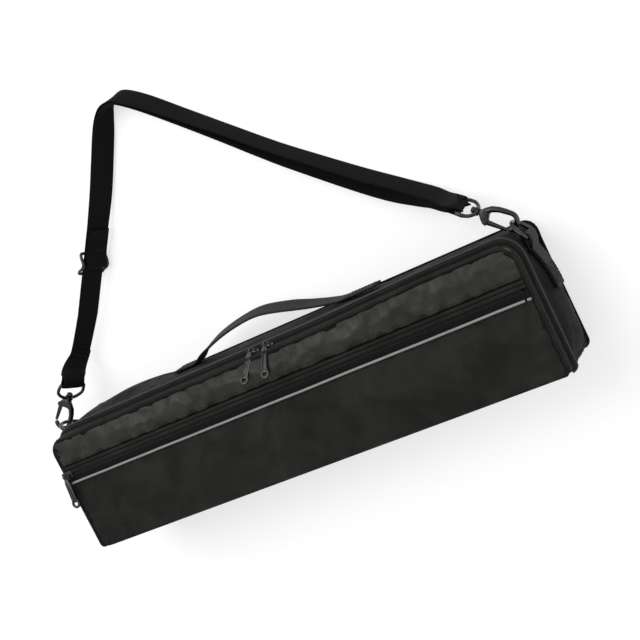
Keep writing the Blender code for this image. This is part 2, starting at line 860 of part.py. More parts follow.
def build_gate(name, side, material):
    """Sprung lever that closes a hook's jaw."""
    pivot = Vector((gate_pivot_reach, gate_pivot_side, 0))
    end = Vector((gate_end_reach, gate_end_side, 0))
    lever = end - pivot
    angle = math.atan2(lever.y, lever.x)
    barrel_half = Vector((0, 0, gate_half_depth))
    barrel = cylinder_mesh(-barrel_half, barrel_half, gate_barrel_radius)
    half = gate_half_thickness
    length = lever.length
    outline = [(gate_pin_hole, -half), (length, -half), (length, half), (gate_pin_hole, half)]
    bar = plate_mesh(outline, -gate_half_depth, gate_half_depth)
    hole = cylinder_mesh(-2 * barrel_half, 2 * barrel_half, gate_pin_hole)
    frame = hook_frame(side)
    placement = frame @ Matrix.Translation(pivot) @ Matrix.Rotation(angle, 4, "Z")
    item = fuse(name, [barrel, bar], material, [hole], placement)
    return moved(item, frame @ pivot)


def build_strap_loop(name, side, material):
    """Wire loop with a boss for the hook's swivel and a straight bar for the strap."""
    half = [(-along * loop_bar_reach, out * wire_half_width) for along, out in loop_side_shares]
    half.append((-loop_bar_reach, wire_half_width - wire_corner))
    path = half + [(-loop_bar_reach, 0)] + [(x, -y) for x, y in reversed(half)]
    wire = tube_mesh([(x, y, 0) for x, y in path], wire_radius)
    boss = cylinder_mesh((-boss_half_length, 0, 0), (boss_half_length, 0, 0), boss_radius)
    hole = cylinder_mesh((-boss_radius, 0, 0), (boss_radius, 0, 0), post_hole)
    return fuse(name, [boss, wire], material, [hole], hook_frame(side))


def loop_bar(side):
    """Middle of the bar that the strap turns round, and the direction from it to the swivel."""
    frame = hook_frame(side)
    return frame @ Vector((-loop_bar_reach, 0, 0)), (frame.to_3x3() @ Vector((1, 0, 0))).normalized()


def route_point(along_share, rise_share, height_share, roll=0.0, gap_share=1.0):
    """A point of the strap's route from its shares between the two loops."""
    left = loop_bar(-1)[0]
    right = loop_bar(1)[0]
    place = left.lerp(right, along_share)
    rise = place.y + rise_share * strap_rise
    return (place.x, rise, height_share * webbing_width, roll, gap_share * layer_pitch)


def running_height():
    """Height of the running layer where it passes over the adjuster's outer bars."""
    return floor_gap + 2 * tri_glide_bar_radius + webbing_gap + webbing_thickness / 2


def glide_frame():
    """Frame of the strap adjuster: origin in the running layer, first axis along the strap."""
    place = route_point(tri_glide_along_share, tri_glide_rise_share, 0.0)
    return flat_frame(Vector((place[0], place[1], running_height())), heading(tri_glide_heading))


def strap_layers():
    """Running layer of the strap: points, width vectors, surface normals and layer gaps, from left to right."""
    left, left_out = loop_bar(-1)
    right, right_out = loop_bar(1)
    frame = glide_frame()
    under = Vector((0, 0, -turn_radius))
    turn_gap = 2 * turn_radius

    def at(vector, roll, gap):
        return (*vector, roll, gap)

    before = frame @ Vector((-straight_before_glide, 0, 0))
    after = frame @ Vector((fold_tail_length + seam_gap, 0, 0))
    along = (after - before).normalized()
    drop = Vector((0, 0, -strap_lead_drop))
    left_keys = [at(left + under, 0, turn_gap), at(left + under - left_out * strap_lead / 2, 0, turn_gap)]
    left_keys.append(at(left + under - left_out * strap_lead + drop, 0, left_lead_gap))
    left_keys += [route_point(*key) for key in left_route_shares]
    left_keys += [at(before, 0, layer_pitch), at(before + along * strap_lead, 0, layer_pitch)]
    straight = [at(before.lerp(after, share), 0, layer_pitch) for share in np.linspace(0, 1, 7)]
    beyond = after + along * strap_lead / 2
    right_keys = [at(after, 0, layer_pitch), at(beyond, 0, layer_pitch)]
    right_keys += [route_point(*key) for key in right_route_shares]
    right_keys.append(at(right + under - right_out * strap_lead + drop, 0, right_lead_gap))
    right_keys += [at(right + under - right_out * strap_lead / 2, 0, turn_gap), at(right + under, 0, turn_gap)]
    rows = smooth_curve(left_keys)[: -route_steps - 1] + straight
    straight_end = len(rows) - 1
    rows += smooth_curve(right_keys)[route_steps:]
    points, widths, normals, gaps = [], [], [], []
    for i, row in enumerate(rows):
        roll = math.radians(row[3])
        lowest = floor_gap + half_webbing * abs(math.sin(roll)) + webbing_thickness / 2 * math.cos(roll)
        points.append(Vector((row[0], row[1], min(max(row[2], lowest), left.z - turn_radius))))
        gaps.append(row[4])
    for i, row in enumerate(rows):
        roll = math.radians(row[3])
        tangent = (points[min(i + 1, len(points) - 1)] - points[max(i - 1, 0)]).normalized()
        if i == 0:
            tangent = -left_out
        if i == len(rows) - 1:
            tangent = right_out
        inward = tangent.cross(Vector((0, 0, 1))).normalized()
        level = inward.cross(tangent).normalized()
        widths.append(inward * math.cos(roll) + level * math.sin(roll))
        normals.append(level * math.cos(roll) - inward * math.sin(roll))
    return points, widths, normals, gaps, straight_end


def turn_points(side):
    """Half-turn of the webbing round a loop's bar, from under it to over it."""
    bar, out = loop_bar(side)
    turns = np.linspace(-math.pi / 2, math.pi / 2, 9)[1:-1]
    return [bar + (out * math.cos(a) + Vector((0, 0, 1)) * math.sin(a)) * turn_radius for a in turns]


def build_strap_webbing(material):
    """The strap: tail at the left loop, running layer, turn round the right loop, and upper layer back."""
    points, widths, normals, gaps, straight_end = strap_layers()
    upper = [point + normal * gap for point, normal, gap in zip(points, normals, gaps)]
    travelled = 0.0
    tail_count = 1
    while travelled < left_tail_length:
        travelled += (points[tail_count] - points[tail_count - 1]).length
        tail_count += 1
    path = upper[:tail_count][::-1]
    across = widths[:tail_count][::-1]
    left_turn = turn_points(-1)[::-1]
    right_turn = turn_points(1)
    path += left_turn + points + right_turn + upper[straight_end:][::-1]
    across += [widths[0]] * len(left_turn) + widths + [widths[-1]] * len(right_turn)
    across += widths[straight_end:][::-1]
    return add_object("strap_webbing", ribbon_mesh(path, across), material)


def build_adjuster_fold(material):
    """Webbing folded round the adjuster's middle bar, with its tail sewn on top."""
    frame = glide_frame()
    turn = tri_glide_bar_radius + webbing_gap + webbing_thickness / 2
    lower = layer_pitch
    centre = lower + turn
    tail = lower + layer_pitch
    climb = centre + turn - tail
    path = [(along * fold_tail_length, tail + up * climb) for along, up in fold_tail_shares]
    turns = np.linspace(math.pi / 2, 1.5 * math.pi, 13)
    path += [(turn * math.cos(a), centre + turn * math.sin(a)) for a in turns]
    path += [(share * fold_tail_length, lower) for share in (0.25, 0.5, 0.75, 1.0)]
    points = [frame @ Vector((along, 0, up)) for along, up in path]
    across = frame.to_3x3() @ Vector((0, 1, 0))
    item = add_object("strap_adjuster_fold", ribbon_mesh(points, [across] * len(points)), material)
    return moved(item, frame.translation)


def build_tri_glide(material):
    """Wire adjuster: low outer bars under the running layer, raised middle bar inside the fold."""
    frame = glide_frame()
    outer_bar = -webbing_thickness / 2 - webbing_gap - tri_glide_bar_radius
    middle_bar = layer_pitch + tri_glide_bar_radius + webbing_gap + webbing_thickness / 2
    side = half_webbing + running_clearance + tri_glide_bar_radius
    half = []
    for along, across, up in glide_rail_shares:
        width = half_webbing + across * (side - half_webbing)
        half.append((-along * tri_glide_bar_spacing, width, outer_bar + up * (middle_bar - outer_bar)))
    rail = half + [(-along, across, up) for along, across, up in reversed(half[:-1])]
    path = rail + [(tri_glide_bar_spacing, 0, outer_bar)] + [(-a, -b, c) for a, b, c in rail]
    path.append((-tri_glide_bar_spacing, 0, outer_bar))
    rim = tube_mesh(path, tri_glide_bar_radius, closed=True)
    bar = cylinder_mesh((0, -side, middle_bar), (0, side, middle_bar), tri_glide_bar_radius, 12)
    item = fuse("tri_glide", [rim, bar], material, placement=frame)
    return moved(item, frame.translation)


def slider_mesh_parts(inner, inner_span):
    """Meshes of a slider: outer plate, post, inner plate and bail, lengthwise, across the zip and out of it."""
    plate_low = slider_lift
    plate_high = slider_lift + slider_plate
    square = slider_half_length - slider_corner
    narrow = slider_half_width - slider_corner
    upper = [(-slider_half_length, narrow), (slider_shoulder_place, slider_half_width)]
    upper += [(square, slider_half_width), (slider_half_length, narrow)]
    outline = upper + [(x, -y) for x, y in reversed(upper)]
    plate = plate_mesh(outline, plate_low, plate_high)
    start, end = inner_span
    lower = [[(x, t, n) for t, n in inner] for x in (start, end)]
    inner_plate = mesh_from_rings("inner", lower)
    depth = max(n for t, n in inner) - slider_plate / 2
    low_side = slider_post_shift - slider_post_half_width
    high_side = slider_post_shift + slider_post_half_width
    sides = [(start, low_side), (end, low_side), (end, high_side), (start, high_side)]
    post = plate_mesh(sides, depth, plate_low + slider_plate / 2)
    foot = plate_low + slider_plate / 2
    leg = [(bail_half_length, foot), (bail_half_length, bail_height - bail_corner)]
    leg.append((bail_half_length - bail_corner, bail_height))
    bail_path = [(-x, 0, z) for x, z in leg] + [(x, 0, z) for x, z in reversed(leg)]
    return [plate, post, inner_plate, tube_mesh(bail_path, bail_radius)]


def main_zip_frame(place):
    """Frame of a main slider: lengthwise, down the tape, out of it; its origin is on the split."""
    lean = math.radians(slider_section_angle)
    out = Vector((0, math.cos(lean), math.sin(lean)))
    down = Vector((0, math.sin(lean), -math.cos(lean)))
    turn = Matrix(((1, 0, 0), down, out)).transposed().to_4x4()
    return Matrix.Translation((place, half_height - split_inset_top, split_height)) @ turn


def pocket_zip_frame():
    """Frame of the pocket's slider."""
    return Matrix.Translation((pocket_slider_place, pocket_zip_centre, pocket_tape_top))


def build_main_slider(name, place, material):
    """Slider of the main zip; its inner plate grips the lid's tape only, so the lid lifts away with it."""
    width = slider_inner_width
    edge = slider_post_shift + slider_post_half_width
    near = -slider_inner_depth
    far = near - slider_inner_slope
    thick = slider_inner_thickness
    inner = [(edge, near), (-width, far), (-width, far - thick), (edge, near - thick)]
    frame = main_zip_frame(place)
    parts = slider_mesh_parts(inner, (slider_inner_start, slider_inner_end))
    item = fuse(name, parts, material, placement=frame)
    return moved(item, frame.translation)


def build_pocket_slider(material):
    """Slider of the pocket's zip, parked at its left end."""
    top = -tape_thickness - seam_gap
    width = slider_inner_width
    inner = [(-width, top), (width, top), (width, top - slider_plate), (-width, top - slider_plate)]
    frame = pocket_zip_frame()
    parts = slider_mesh_parts(inner, (pocket_inner_start, slider_half_length))
    item = fuse("pocket_slider", parts, material, placement=frame)
    return moved(item, frame.translation)


def build_pull(name, eye, rise, lean, ribs, material):
    """Metal pull: knuckle round the slider's bail, ribbed shank and ring end."""
    half_eye = Vector((0, pull_eye_length / 2, 0))
    knuckle = cylinder_mesh(-half_eye, half_eye, pull_eye_radius)
    start = pull_eye_radius - pull_rib_height
    ring_place = pull_length - pull_ring_radius
    end = ring_place - pull_hole_radius - pull_rib_height
    half_width = pull_width / 2
    half_thick = pull_thickness / 2
    neck = pull_eye_length / 2
    edge = [(start, neck), (pull_neck_length, half_width), (end, half_width)]
    outline = edge + [(x, -y) for x, y in reversed(edge)]
    parts = [knuckle, plate_mesh(outline, -half_thick, half_thick)]
    ring_low = Vector((ring_place, 0, -half_thick))
    ring_high = Vector((ring_place, 0, half_thick))
    parts.append(cylinder_mesh(ring_low, ring_high, pull_ring_radius, 24))
    for centre in ribs:
        low = centre - pull_rib_width / 2
        high = centre + pull_rib_width / 2
        first = pull_neck_length + pull_rib_height
        last = end - pull_rib_height
        rib = [(first, low), (last, low), (last, high), (first, high)]
        parts.append(plate_mesh(rib, 0, half_thick + pull_rib_height))
    cutters = [cylinder_mesh(-2 * half_eye, 2 * half_eye, pull_eye_hole)]
    cutters.append(cylinder_mesh(2 * ring_low - ring_high, 2 * ring_high - ring_low, pull_hole_radius))
    lean_turn = Matrix.Rotation(math.radians(lean), 4, "Z")
    rise_turn = Matrix.Rotation(math.radians(-rise), 4, "Y")
    face = Matrix.Rotation(math.radians(-90), 4, "Z")
    placement = Matrix.Translation(eye) @ face @ rise_turn @ lean_turn.inverted()
    item = fuse(name, parts, material, cutters, placement)
    return moved(item, eye)


def build_hardware(metal):
    """Sliders, pulls, rings, hooks, gates, loops and the strap adjuster."""
    for side, label, ring_degrees in ((-1, "left", left_ring_heading), (1, "right", right_ring_heading)):
        build_ring(f"d_ring_{label}", side, ring_degrees, metal[f"d_ring_{label}"])
        build_hook(f"hook_{label}", side, metal[f"hook_{label}"])
        build_gate(f"gate_{label}", side, metal[f"gate_{label}"])
        build_strap_loop(f"strap_loop_{label}", side, metal[f"strap_loop_{label}"])
    two_ribs = (-pull_rib_spacing / 2, pull_rib_spacing / 2)
    pulls = (
        ("left", left_slider_place, left_pull_lean, (0.0,)),
        ("right", right_slider_place, right_pull_lean, two_ribs),
    )
    for label, place, lean, ribs in pulls:
        build_main_slider(f"main_slider_{label}", place, metal[f"main_slider_{label}"])
        eye = main_zip_frame(place) @ Vector((0, 0, bail_height))
        build_pull(f"main_pull_{label}", eye, main_pull_rise, lean, ribs, metal[f"main_pull_{label}"])
    build_pocket_slider(metal["pocket_slider"])
    eye = pocket_zip_frame() @ Vector((0, 0, bail_height))
    build_pull("pocket_pull", eye, pocket_pull_rise, pocket_pull_lean, (0.0,), metal["pocket_pull"])
    build_tri_glide(metal["tri_glide"])


def main():
    """Build the whole bag."""
    clear_scene()
    pieces = ("d_ring", "hook", "gate", "strap_loop")
    metal_names = [f"{piece}_{side}" for side in ("left", "right") for piece in pieces]
    metal_names += ["main_slider_left", "main_slider_right", "main_pull_left", "main_pull_right"]
    metal_names += ["pocket_slider", "pocket_pull", "tri_glide"]
    metal = {name: finish(name + "_metal", *metal_look, metallic=1.0) for name in metal_names}
    build_back_panel(finish("back_fabric", *body_look))
    build_gusset_band(finish("gusset_fabric", *body_look))
    build_bottom_panel(finish("bottom_fabric", *body_look))
    build_wall_lining(finish("wall_lining_fabric", *lining_look))
    build_floor_lining(finish("floor_lining_fabric", *lining_look))
    build_base_zip_tape(finish("base_tape_fabric", *tape_look))
    build_gusset_piping(finish("gusset_piping_fabric", *piping_look))
    build_carry_handle(finish("handle_webbing", *webbing_look))
    build_ring_tab("d_ring_tab_left", -1, finish("left_tab_webbing", *webbing_look))
    build_ring_tab("d_ring_tab_right", 1, finish("right_tab_webbing", *webbing_look))
    lid_pieces = [
        build_lid_board(finish("lid_board_fabric", *body_look)),
        build_lid_lining(finish("lid_lining_fabric", *lining_look)),
        build_upper_front_panel(finish("upper_nylon", *upper_look)),
        build_pocket_panel(finish("pocket_nylon", *body_look)),
        build_lid_zip_tape(finish("lid_tape_fabric", *tape_look)),
    ]
    tape_finishes = [finish(f"pocket_{side}_tape_fabric", *tape_look) for side in ("lower", "upper")]
    lid_pieces += build_pocket_zip_tapes(tape_finishes)
    piping_finishes = [finish(name, *silver_look) for name in ("silver_piping", "silver_tip")]
    lid_pieces += build_reflective_piping(*piping_finishes)
    for item in lid_pieces:
        moved(item, hinge_place)
    build_hardware(metal)
    build_strap_webbing(finish("strap_fabric", *webbing_look))
    build_adjuster_fold(finish("fold_fabric", *webbing_look))


main()
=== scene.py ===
"""Looks of a padded flute bag lying on its back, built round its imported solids.

The bag is black nylon: a zipped lid with a front pocket and silver piping, a webbing handle,
and a shoulder strap held by snap hooks. +X runs along the bag, +Y to the handle, +Z out of the front.
"""

import json
import logging
from dataclasses import dataclass, field, replace
from enum import Enum
from itertools import accumulate
from math import atan2, cos, exp, pi, radians, sin, sqrt
from typing import Callable, Iterable, Sequence

import bmesh
import bpy
import numpy as np
from mathutils import Matrix, Vector, noise

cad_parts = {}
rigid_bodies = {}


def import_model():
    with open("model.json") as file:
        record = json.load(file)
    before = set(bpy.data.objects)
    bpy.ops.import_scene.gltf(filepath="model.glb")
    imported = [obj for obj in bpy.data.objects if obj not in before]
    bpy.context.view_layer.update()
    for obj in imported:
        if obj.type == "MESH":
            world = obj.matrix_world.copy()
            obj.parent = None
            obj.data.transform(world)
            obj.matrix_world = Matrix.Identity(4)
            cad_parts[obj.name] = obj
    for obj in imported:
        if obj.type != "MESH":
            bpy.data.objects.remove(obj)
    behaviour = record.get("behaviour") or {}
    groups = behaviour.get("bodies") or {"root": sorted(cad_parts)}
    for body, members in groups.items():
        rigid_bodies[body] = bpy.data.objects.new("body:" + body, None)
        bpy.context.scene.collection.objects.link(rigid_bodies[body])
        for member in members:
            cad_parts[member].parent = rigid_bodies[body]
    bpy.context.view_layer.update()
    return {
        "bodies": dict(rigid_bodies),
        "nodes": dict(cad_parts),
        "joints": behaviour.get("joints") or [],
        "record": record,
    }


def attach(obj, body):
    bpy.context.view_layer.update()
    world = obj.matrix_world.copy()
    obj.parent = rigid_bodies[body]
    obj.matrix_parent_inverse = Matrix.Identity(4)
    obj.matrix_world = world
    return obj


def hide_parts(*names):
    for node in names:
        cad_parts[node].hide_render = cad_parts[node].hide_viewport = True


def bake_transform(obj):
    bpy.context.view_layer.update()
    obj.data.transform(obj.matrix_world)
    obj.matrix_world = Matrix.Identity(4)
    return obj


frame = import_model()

log = logging.getLogger("flute_bag")
Point = Vector | np.ndarray
Row = list[Vector]
Line = Sequence[Vector]
Triple = tuple[float, float, float]
BMesh = bmesh.types.BMesh
Piece = bpy.types.Object
Material = bpy.types.Material
Node = bpy.types.Node
Tree = bpy.types.NodeTree
Socket = bpy.types.NodeSocket
Outline = tuple[tuple[float, float], ...]
Curve = Callable[[float], float]
MM = 0.001
METAL_ANGLE = 42.0  # degrees; sharper edges of castings and wire stay crisp
UP = Vector((0, 0, 1))

# Rings of one stitch: share of the pitch, swell and rise
STITCH = ((0.0, 0.35, -0.4), (0.15, 1.0, 0.25), (0.35, 1.05, 0.45), (0.55, 1.0, 0.25), (0.7, 0.35, -0.4))
# Rings of one turn of a zip's coil: place across the zip, swell and rise
COIL_TURN = ((-1.0, 0.3, -0.6), (-0.75, 0.95, 0.0), (0.0, 1.0, 0.35), (0.75, 1.1, 0.1), (1.0, 0.4, -0.5))


class Side(Enum):
    """The bag's two ends."""

    LEFT = -1
    RIGHT = 1

    @property
    def label(self) -> str:
        """Name used in the pieces of this end."""
        return self.name.lower()


# Small tools for nodes and colours

def linear(code: str) -> tuple[float, float, float, float]:
    """Turn an sRGB hex colour into linear light.

    Args:
        code: six hex digits, with or without a leading hash.

    Returns:
        Red, green, blue and an alpha of one.
    """
    digits = code.lstrip("#")
    parts = [int(digits[i : i + 2], 16) / 255 for i in (0, 2, 4)]
    light = [c / 12.92 if c <= 0.04045 else ((c + 0.055) / 1.055) ** 2.4 for c in parts]
    return (*light, 1.0)


def add_node(
    tree: Tree, kind: str, settings: dict | None = None, values: dict | None = None, links: dict | None = None
) -> Node:
    """Add one shader node with its settings, socket values and incoming links.

    Args:
        tree: node tree that gets the node.
        kind: Blender's name of the node type, after ShaderNode.
        settings: attributes of the node.
        values: default values by input name or number.
        links: output sockets to join, by input name or number.

    Returns:
        The new node.
    """
    node = tree.nodes.new(f"ShaderNode{kind}")
    for key, value in (settings or {}).items():
        setattr(node, key, value)
    for key, value in (values or {}).items():
        node.inputs[key].default_value = value
    for key, socket in (links or {}).items():
        tree.links.new(socket, node.inputs[key])
    return node


def band_scale(period_mm: float) -> float:
    """Scale of a Wave texture whose bands repeat at a real distance, on coordinates in metres."""
    return 2 * pi / 20 / (period_mm * MM)


def grain_scale(grain_mm: float) -> float:
    """Scale of a Noise texture whose grains have a real size, on coordinates in metres."""
    return 1 / (grain_mm * MM)


# Finishes

@dataclass(frozen=True)
class Finish:
    """What every finish starts from: the real material, the record's slot for it and its shine."""

    name: str
    slot: str
    roughness: float
    specular: float = 0.5

    def begin(self) -> tuple[Material, Tree, Node]:
        """Make an empty Principled material.

        Returns:
            The material, its node tree and its shader.
        """
        material = bpy.data.materials.new(self.name)
        material.use_nodes = True
        tree = material.node_tree
        shader = tree.nodes["Principled BSDF"]
        shader.inputs["Roughness"].default_value = self.roughness
        shader.inputs["Specular IOR Level"].default_value = self.specular
        return material, tree, shader

    def material(self) -> Material:
        """Build the finish's material."""
        raise NotImplementedError


def cloth_coordinates(tree: Tree) -> Socket:
    """Metres along and across a piece, from its UV map."""
    return add_node(tree, "UVMap", {"uv_map": "cloth"}).outputs["UV"]


def place_coordinates(tree: Tree) -> Socket:
    """Metres in the piece's own space."""
    return add_node(tree, "TexCoord").outputs["Object"]


def mixed_colour(tree: Tree, factor: Socket, low: str, high: str) -> Socket:
    """Mix two hex colours by a factor.

    Args:
        tree: node tree to build in.
        factor: socket that runs from 0 to 1.
        low: hex colour at 0.
        high: hex colour at 1.

    Returns:
        The mixed colour's socket.
    """
    node = add_node(tree, "Mix", {"data_type": "RGBA"}, {6: linear(low), 7: linear(high)}, {0: factor})
    return node.outputs[2]


@dataclass(frozen=True)
class WovenCloth(Finish):
    """Plain-woven cloth: warp and weft threads, soft creases and a slow drift of tone.

    Its threads scatter light, so it looks matt and a little grainy; the crests of its creases are painted paler, a
    painted highlight.
    """

    dark: str = "#1b1b1a"
    pale: str = "#2b2b29"
    # Real threads of about 0.5 mm are too fine to show, so they are drawn coarser
    thread_mm: float = 1.3
    thread_depth_mm: float = 0.12
    crease_mm: float = 22.0
    crease_depth_mm: float = 0.5
    crease_stretch: float = 1.0
    gloss_swing: float = 0.12

    def material(self) -> Material:
        """Build the cloth.

        Returns:
            The material.
        """
        material, tree, shader = self.begin()
        place = cloth_coordinates(tree)
        bands = [
            add_node(
                tree, "TexWave", {"bands_direction": axis},
                {"Scale": band_scale(self.thread_mm), "Distortion": 0.6, "Detail Scale": 2.0}, {"Vector": place}
            ).outputs["Fac"]
            for axis in ("X", "Y")
        ]
        weave = add_node(tree, "Math", {"operation": "MAXIMUM"}, links={0: bands[0], 1: bands[1]})
        stretched = add_node(
            tree, "Mapping", values={"Scale": (1.0, 1.0 / self.crease_stretch, 1.0)}, links={"Vector": place}
        )
        crease = add_node(
            tree, "TexNoise",
            values={"Scale": grain_scale(self.crease_mm), "Detail": 3.0, "Roughness": 0.55, "Distortion": 0.8},
            links={"Vector": stretched.outputs[0]}
        )
        # Painted highlight: the crease noise that raises the bump also paints the crests paler
        drift = add_node(
            tree, "MapRange", values={"From Min": 0.35, "From Max": 0.7}, links={"Value": crease.outputs["Fac"]}
        )
        grain = add_node(tree, "Math", {"operation": "MULTIPLY_ADD"}, {1: 0.35, 2: 0.0}, {0: weave.outputs[0]})
        tone = add_node(
            tree, "Math", {"operation": "MULTIPLY_ADD", "use_clamp": True}, {1: 0.65},
            {0: drift.outputs[0], 2: grain.outputs[0]}
        )
        tree.links.new(mixed_colour(tree, tone.outputs[0], self.dark, self.pale), shader.inputs["Base Color"])
        gloss = add_node(
            tree, "MapRange",
            values={
                "From Min": 0.3, "From Max": 0.7, "To Min": min(1.0, self.roughness + self.gloss_swing),
                "To Max": max(0.05, self.roughness - self.gloss_swing)
            },
            links={"Value": crease.outputs["Fac"]}
        )
        tree.links.new(gloss.outputs[0], shader.inputs["Roughness"])
        soft = add_node(
            tree, "Bump", values={"Strength": 0.8, "Distance": self.crease_depth_mm * MM},
            links={"Height": crease.outputs["Fac"]}
        )
        fine = add_node(
            tree, "Bump", values={"Strength": 0.7, "Distance": self.thread_depth_mm * MM},
            links={"Height": weave.outputs[0], "Normal": soft.outputs[0]}
        )
        tree.links.new(fine.outputs[0], shader.inputs["Normal"])
        return material


@dataclass(frozen=True)
class CrinkledNylon(WovenCloth):
    """Coated taffeta nylon of the lid's upper panel.

    It is thin and slick, so that every crinkle catches a pale streak; the streaks are partly real gloss on the crinkles
    and partly painted highlight along its creases.
    """

    crinkle_mm: float = 9.0
    crinkle_depth_mm: float = 0.7

    def material(self) -> Material:
        """Build the cloth and lay the crinkles over its weave.

        Returns:
            The material.
        """
        material = super().material()
        tree = material.node_tree
        shader = tree.nodes["Principled BSDF"]
        place = add_node(
            tree, "Mapping", values={"Scale": (1.0, 0.35, 1.0), "Rotation": (0, 0, 0.25)},
            links={"Vector": cloth_coordinates(tree)}
        )
        crinkle = add_node(
            tree, "TexNoise", {"noise_type": "RIDGED_MULTIFRACTAL"},
            {"Scale": grain_scale(self.crinkle_mm), "Detail": 2.0, "Roughness": 0.5, "Distortion": 1.2},
            {"Vector": place.outputs[0]}
        )
        under = shader.inputs["Normal"].links[0].from_socket
        bump = add_node(
            tree, "Bump", values={"Strength": 0.5, "Distance": self.crinkle_depth_mm * MM},
            links={"Height": crinkle.outputs["Fac"], "Normal": under}
        )
        tree.links.new(bump.outputs[0], shader.inputs["Normal"])
        return material


@dataclass(frozen=True)
class RibbedTape(Finish):
    """Narrow woven tape or webbing: ribs along its length under a herringbone of thick yarns.

    The yarns run in long floats, so ribs show as fine lit lines from the side.
    """

    dark: str = "#111111"
    pale: str = "#262624"
    # Real ribs and yarns of about 1 mm are drawn coarser, so that they show
    rib_mm: float = 2.0
    rib_depth_mm: float = 0.25
    yarn_mm: float = 1.6
    yarn_depth_mm: float = 0.15
    slant: float = 0.6

    def material(self) -> Material:
        """Build the tape.

        Returns:
            The material.
        """
        material, tree, shader = self.begin()
        place = cloth_coordinates(tree)
        ribs = add_node(
            tree, "TexWave", {"bands_direction": "Y"},
            {"Scale": band_scale(self.rib_mm), "Distortion": 0.3, "Detail Scale": 1.0}, {"Vector": place}
        )
        turned = add_node(tree, "Mapping", values={"Rotation": (0, 0, self.slant)}, links={"Vector": place})
        yarns = add_node(
            tree, "TexWave", {"bands_direction": "X"},
            {"Scale": band_scale(self.yarn_mm), "Distortion": 0.8, "Detail Scale": 1.5}, {"Vector": turned.outputs[0]}
        )
        fuzz = add_node(tree, "TexNoise", values={"Scale": grain_scale(6.0), "Detail": 3.0}, links={"Vector": place})
        both = add_node(
            tree, "Math", {"operation": "MULTIPLY"}, links={0: ribs.outputs["Fac"], 1: yarns.outputs["Fac"]}
        )
        tone = add_node(
            tree, "Math", {"operation": "MULTIPLY_ADD", "use_clamp": True}, {1: 0.55},
            {0: fuzz.outputs["Fac"], 2: both.outputs[0]}
        )
        tree.links.new(mixed_colour(tree, tone.outputs[0], self.dark, self.pale), shader.inputs["Base Color"])
        first = add_node(
            tree, "Bump", values={"Strength": 0.8, "Distance": self.rib_depth_mm * MM},
            links={"Height": ribs.outputs["Fac"]}
        )
        second = add_node(
            tree, "Bump", values={"Strength": 0.8, "Distance": self.yarn_depth_mm * MM},
            links={"Height": yarns.outputs["Fac"], "Normal": first.outputs[0]}
        )
        tree.links.new(second.outputs[0], shader.inputs["Normal"])
        return material


@dataclass(frozen=True)
class GrainedFinish(Finish):
    """Hard or wrapped surface with a fine grain and worn patches; used for metal, coil, thread and piping."""

    dark: str = "#101010"
    pale: str = "#202020"
    # A real grain of about 0.2 mm is drawn coarser, so that it shows
    grain_mm: float = 1.2
    grain_depth_mm: float = 0.03
    patch_mm: float = 9.0
    metallic: float = 0.0
    coat: float = 0.0
    rough_swing: float = 0.08

    def material(self) -> Material:
        """Build the surface.

        Returns:
            The material.
        """
        material, tree, shader = self.begin()
        place = place_coordinates(tree)
        patches = add_node(
            tree, "TexNoise", values={"Scale": grain_scale(self.patch_mm), "Detail": 4.0, "Roughness": 0.6},
            links={"Vector": place}
        )
        grain = add_node(
            tree, "TexNoise", values={"Scale": grain_scale(self.grain_mm), "Detail": 2.0}, links={"Vector": place}
        )
        tree.links.new(mixed_colour(tree, patches.outputs["Fac"], self.dark, self.pale), shader.inputs["Base Color"])
        rough = add_node(
            tree, "MapRange",
            values={
                "To Min": max(0.05, self.roughness - self.rough_swing), "To Max": self.roughness + self.rough_swing
            },
            links={"Value": patches.outputs["Fac"]}
        )
        tree.links.new(rough.outputs[0], shader.inputs["Roughness"])
        bump = add_node(
            tree, "Bump", values={"Strength": 0.6, "Distance": self.grain_depth_mm * MM},
            links={"Height": grain.outputs["Fac"]}
        )
        tree.links.new(bump.outputs[0], shader.inputs["Normal"])
        shader.inputs["Metallic"].default_value = self.metallic
        if self.coat:
            shader.inputs["Coat Weight"].default_value = self.coat
            shader.inputs["Coat Roughness"].default_value = 0.25
        return material


# Meshes

def lengths_along(points: Line) -> list[float]:
    """Distance travelled at each point, from zero."""
    steps = [(after - before).length for before, after in zip(points, points[1:])]
    return [0.0, *accumulate(steps)]


def cloth_map(bm: BMesh) -> bmesh.types.BMLayerItem:
    """The UV map of metres along and across, made where there is none yet."""
    return bm.loops.layers.uv.get("cloth") or bm.loops.layers.uv.new("cloth")


def skin_into(bm: BMesh, rings: Sequence[Row], loop: bool = False) -> BMesh:
    """Skin closed rings of points into a bmesh, with a UV map in metres along and around.

    Args:
        bm: bmesh that gets the faces.
        rings: equal rings of points, one behind the other.
        loop: the last ring joins the first; otherwise both ends get caps.

    Returns:
        The same bmesh.
    """
    uv = cloth_map(bm)
    count = len(rings[0])
    centres = [sum(ring, Vector()) / count for ring in rings]
    along = lengths_along([*centres, centres[0]] if loop else centres)
    middle = rings[len(rings) // 2]
    around = lengths_along([*middle, middle[0]])
    grid = [[bm.verts.new(p) for p in ring] for ring in rings]
    for i in range(len(rings) - (0 if loop else 1)):
        k = (i + 1) % len(rings)
        for j in range(count):
            m = (j + 1) % count
            face = bm.faces.new((grid[i][j], grid[i][m], grid[k][m], grid[k][j]))
            places = ((i, j), (i, j + 1), (i + 1, j + 1), (i + 1, j))
            for corner, (a, b) in zip(face.loops, places):
                corner[uv].uv = (along[a], around[b])
    if not loop:
        for row, end in ((grid[0], along[0]), (grid[-1], along[-1])):
            face = bm.faces.new(row)
            for j, corner in enumerate(face.loops):
                corner[uv].uv = (end, around[j])
    return bm


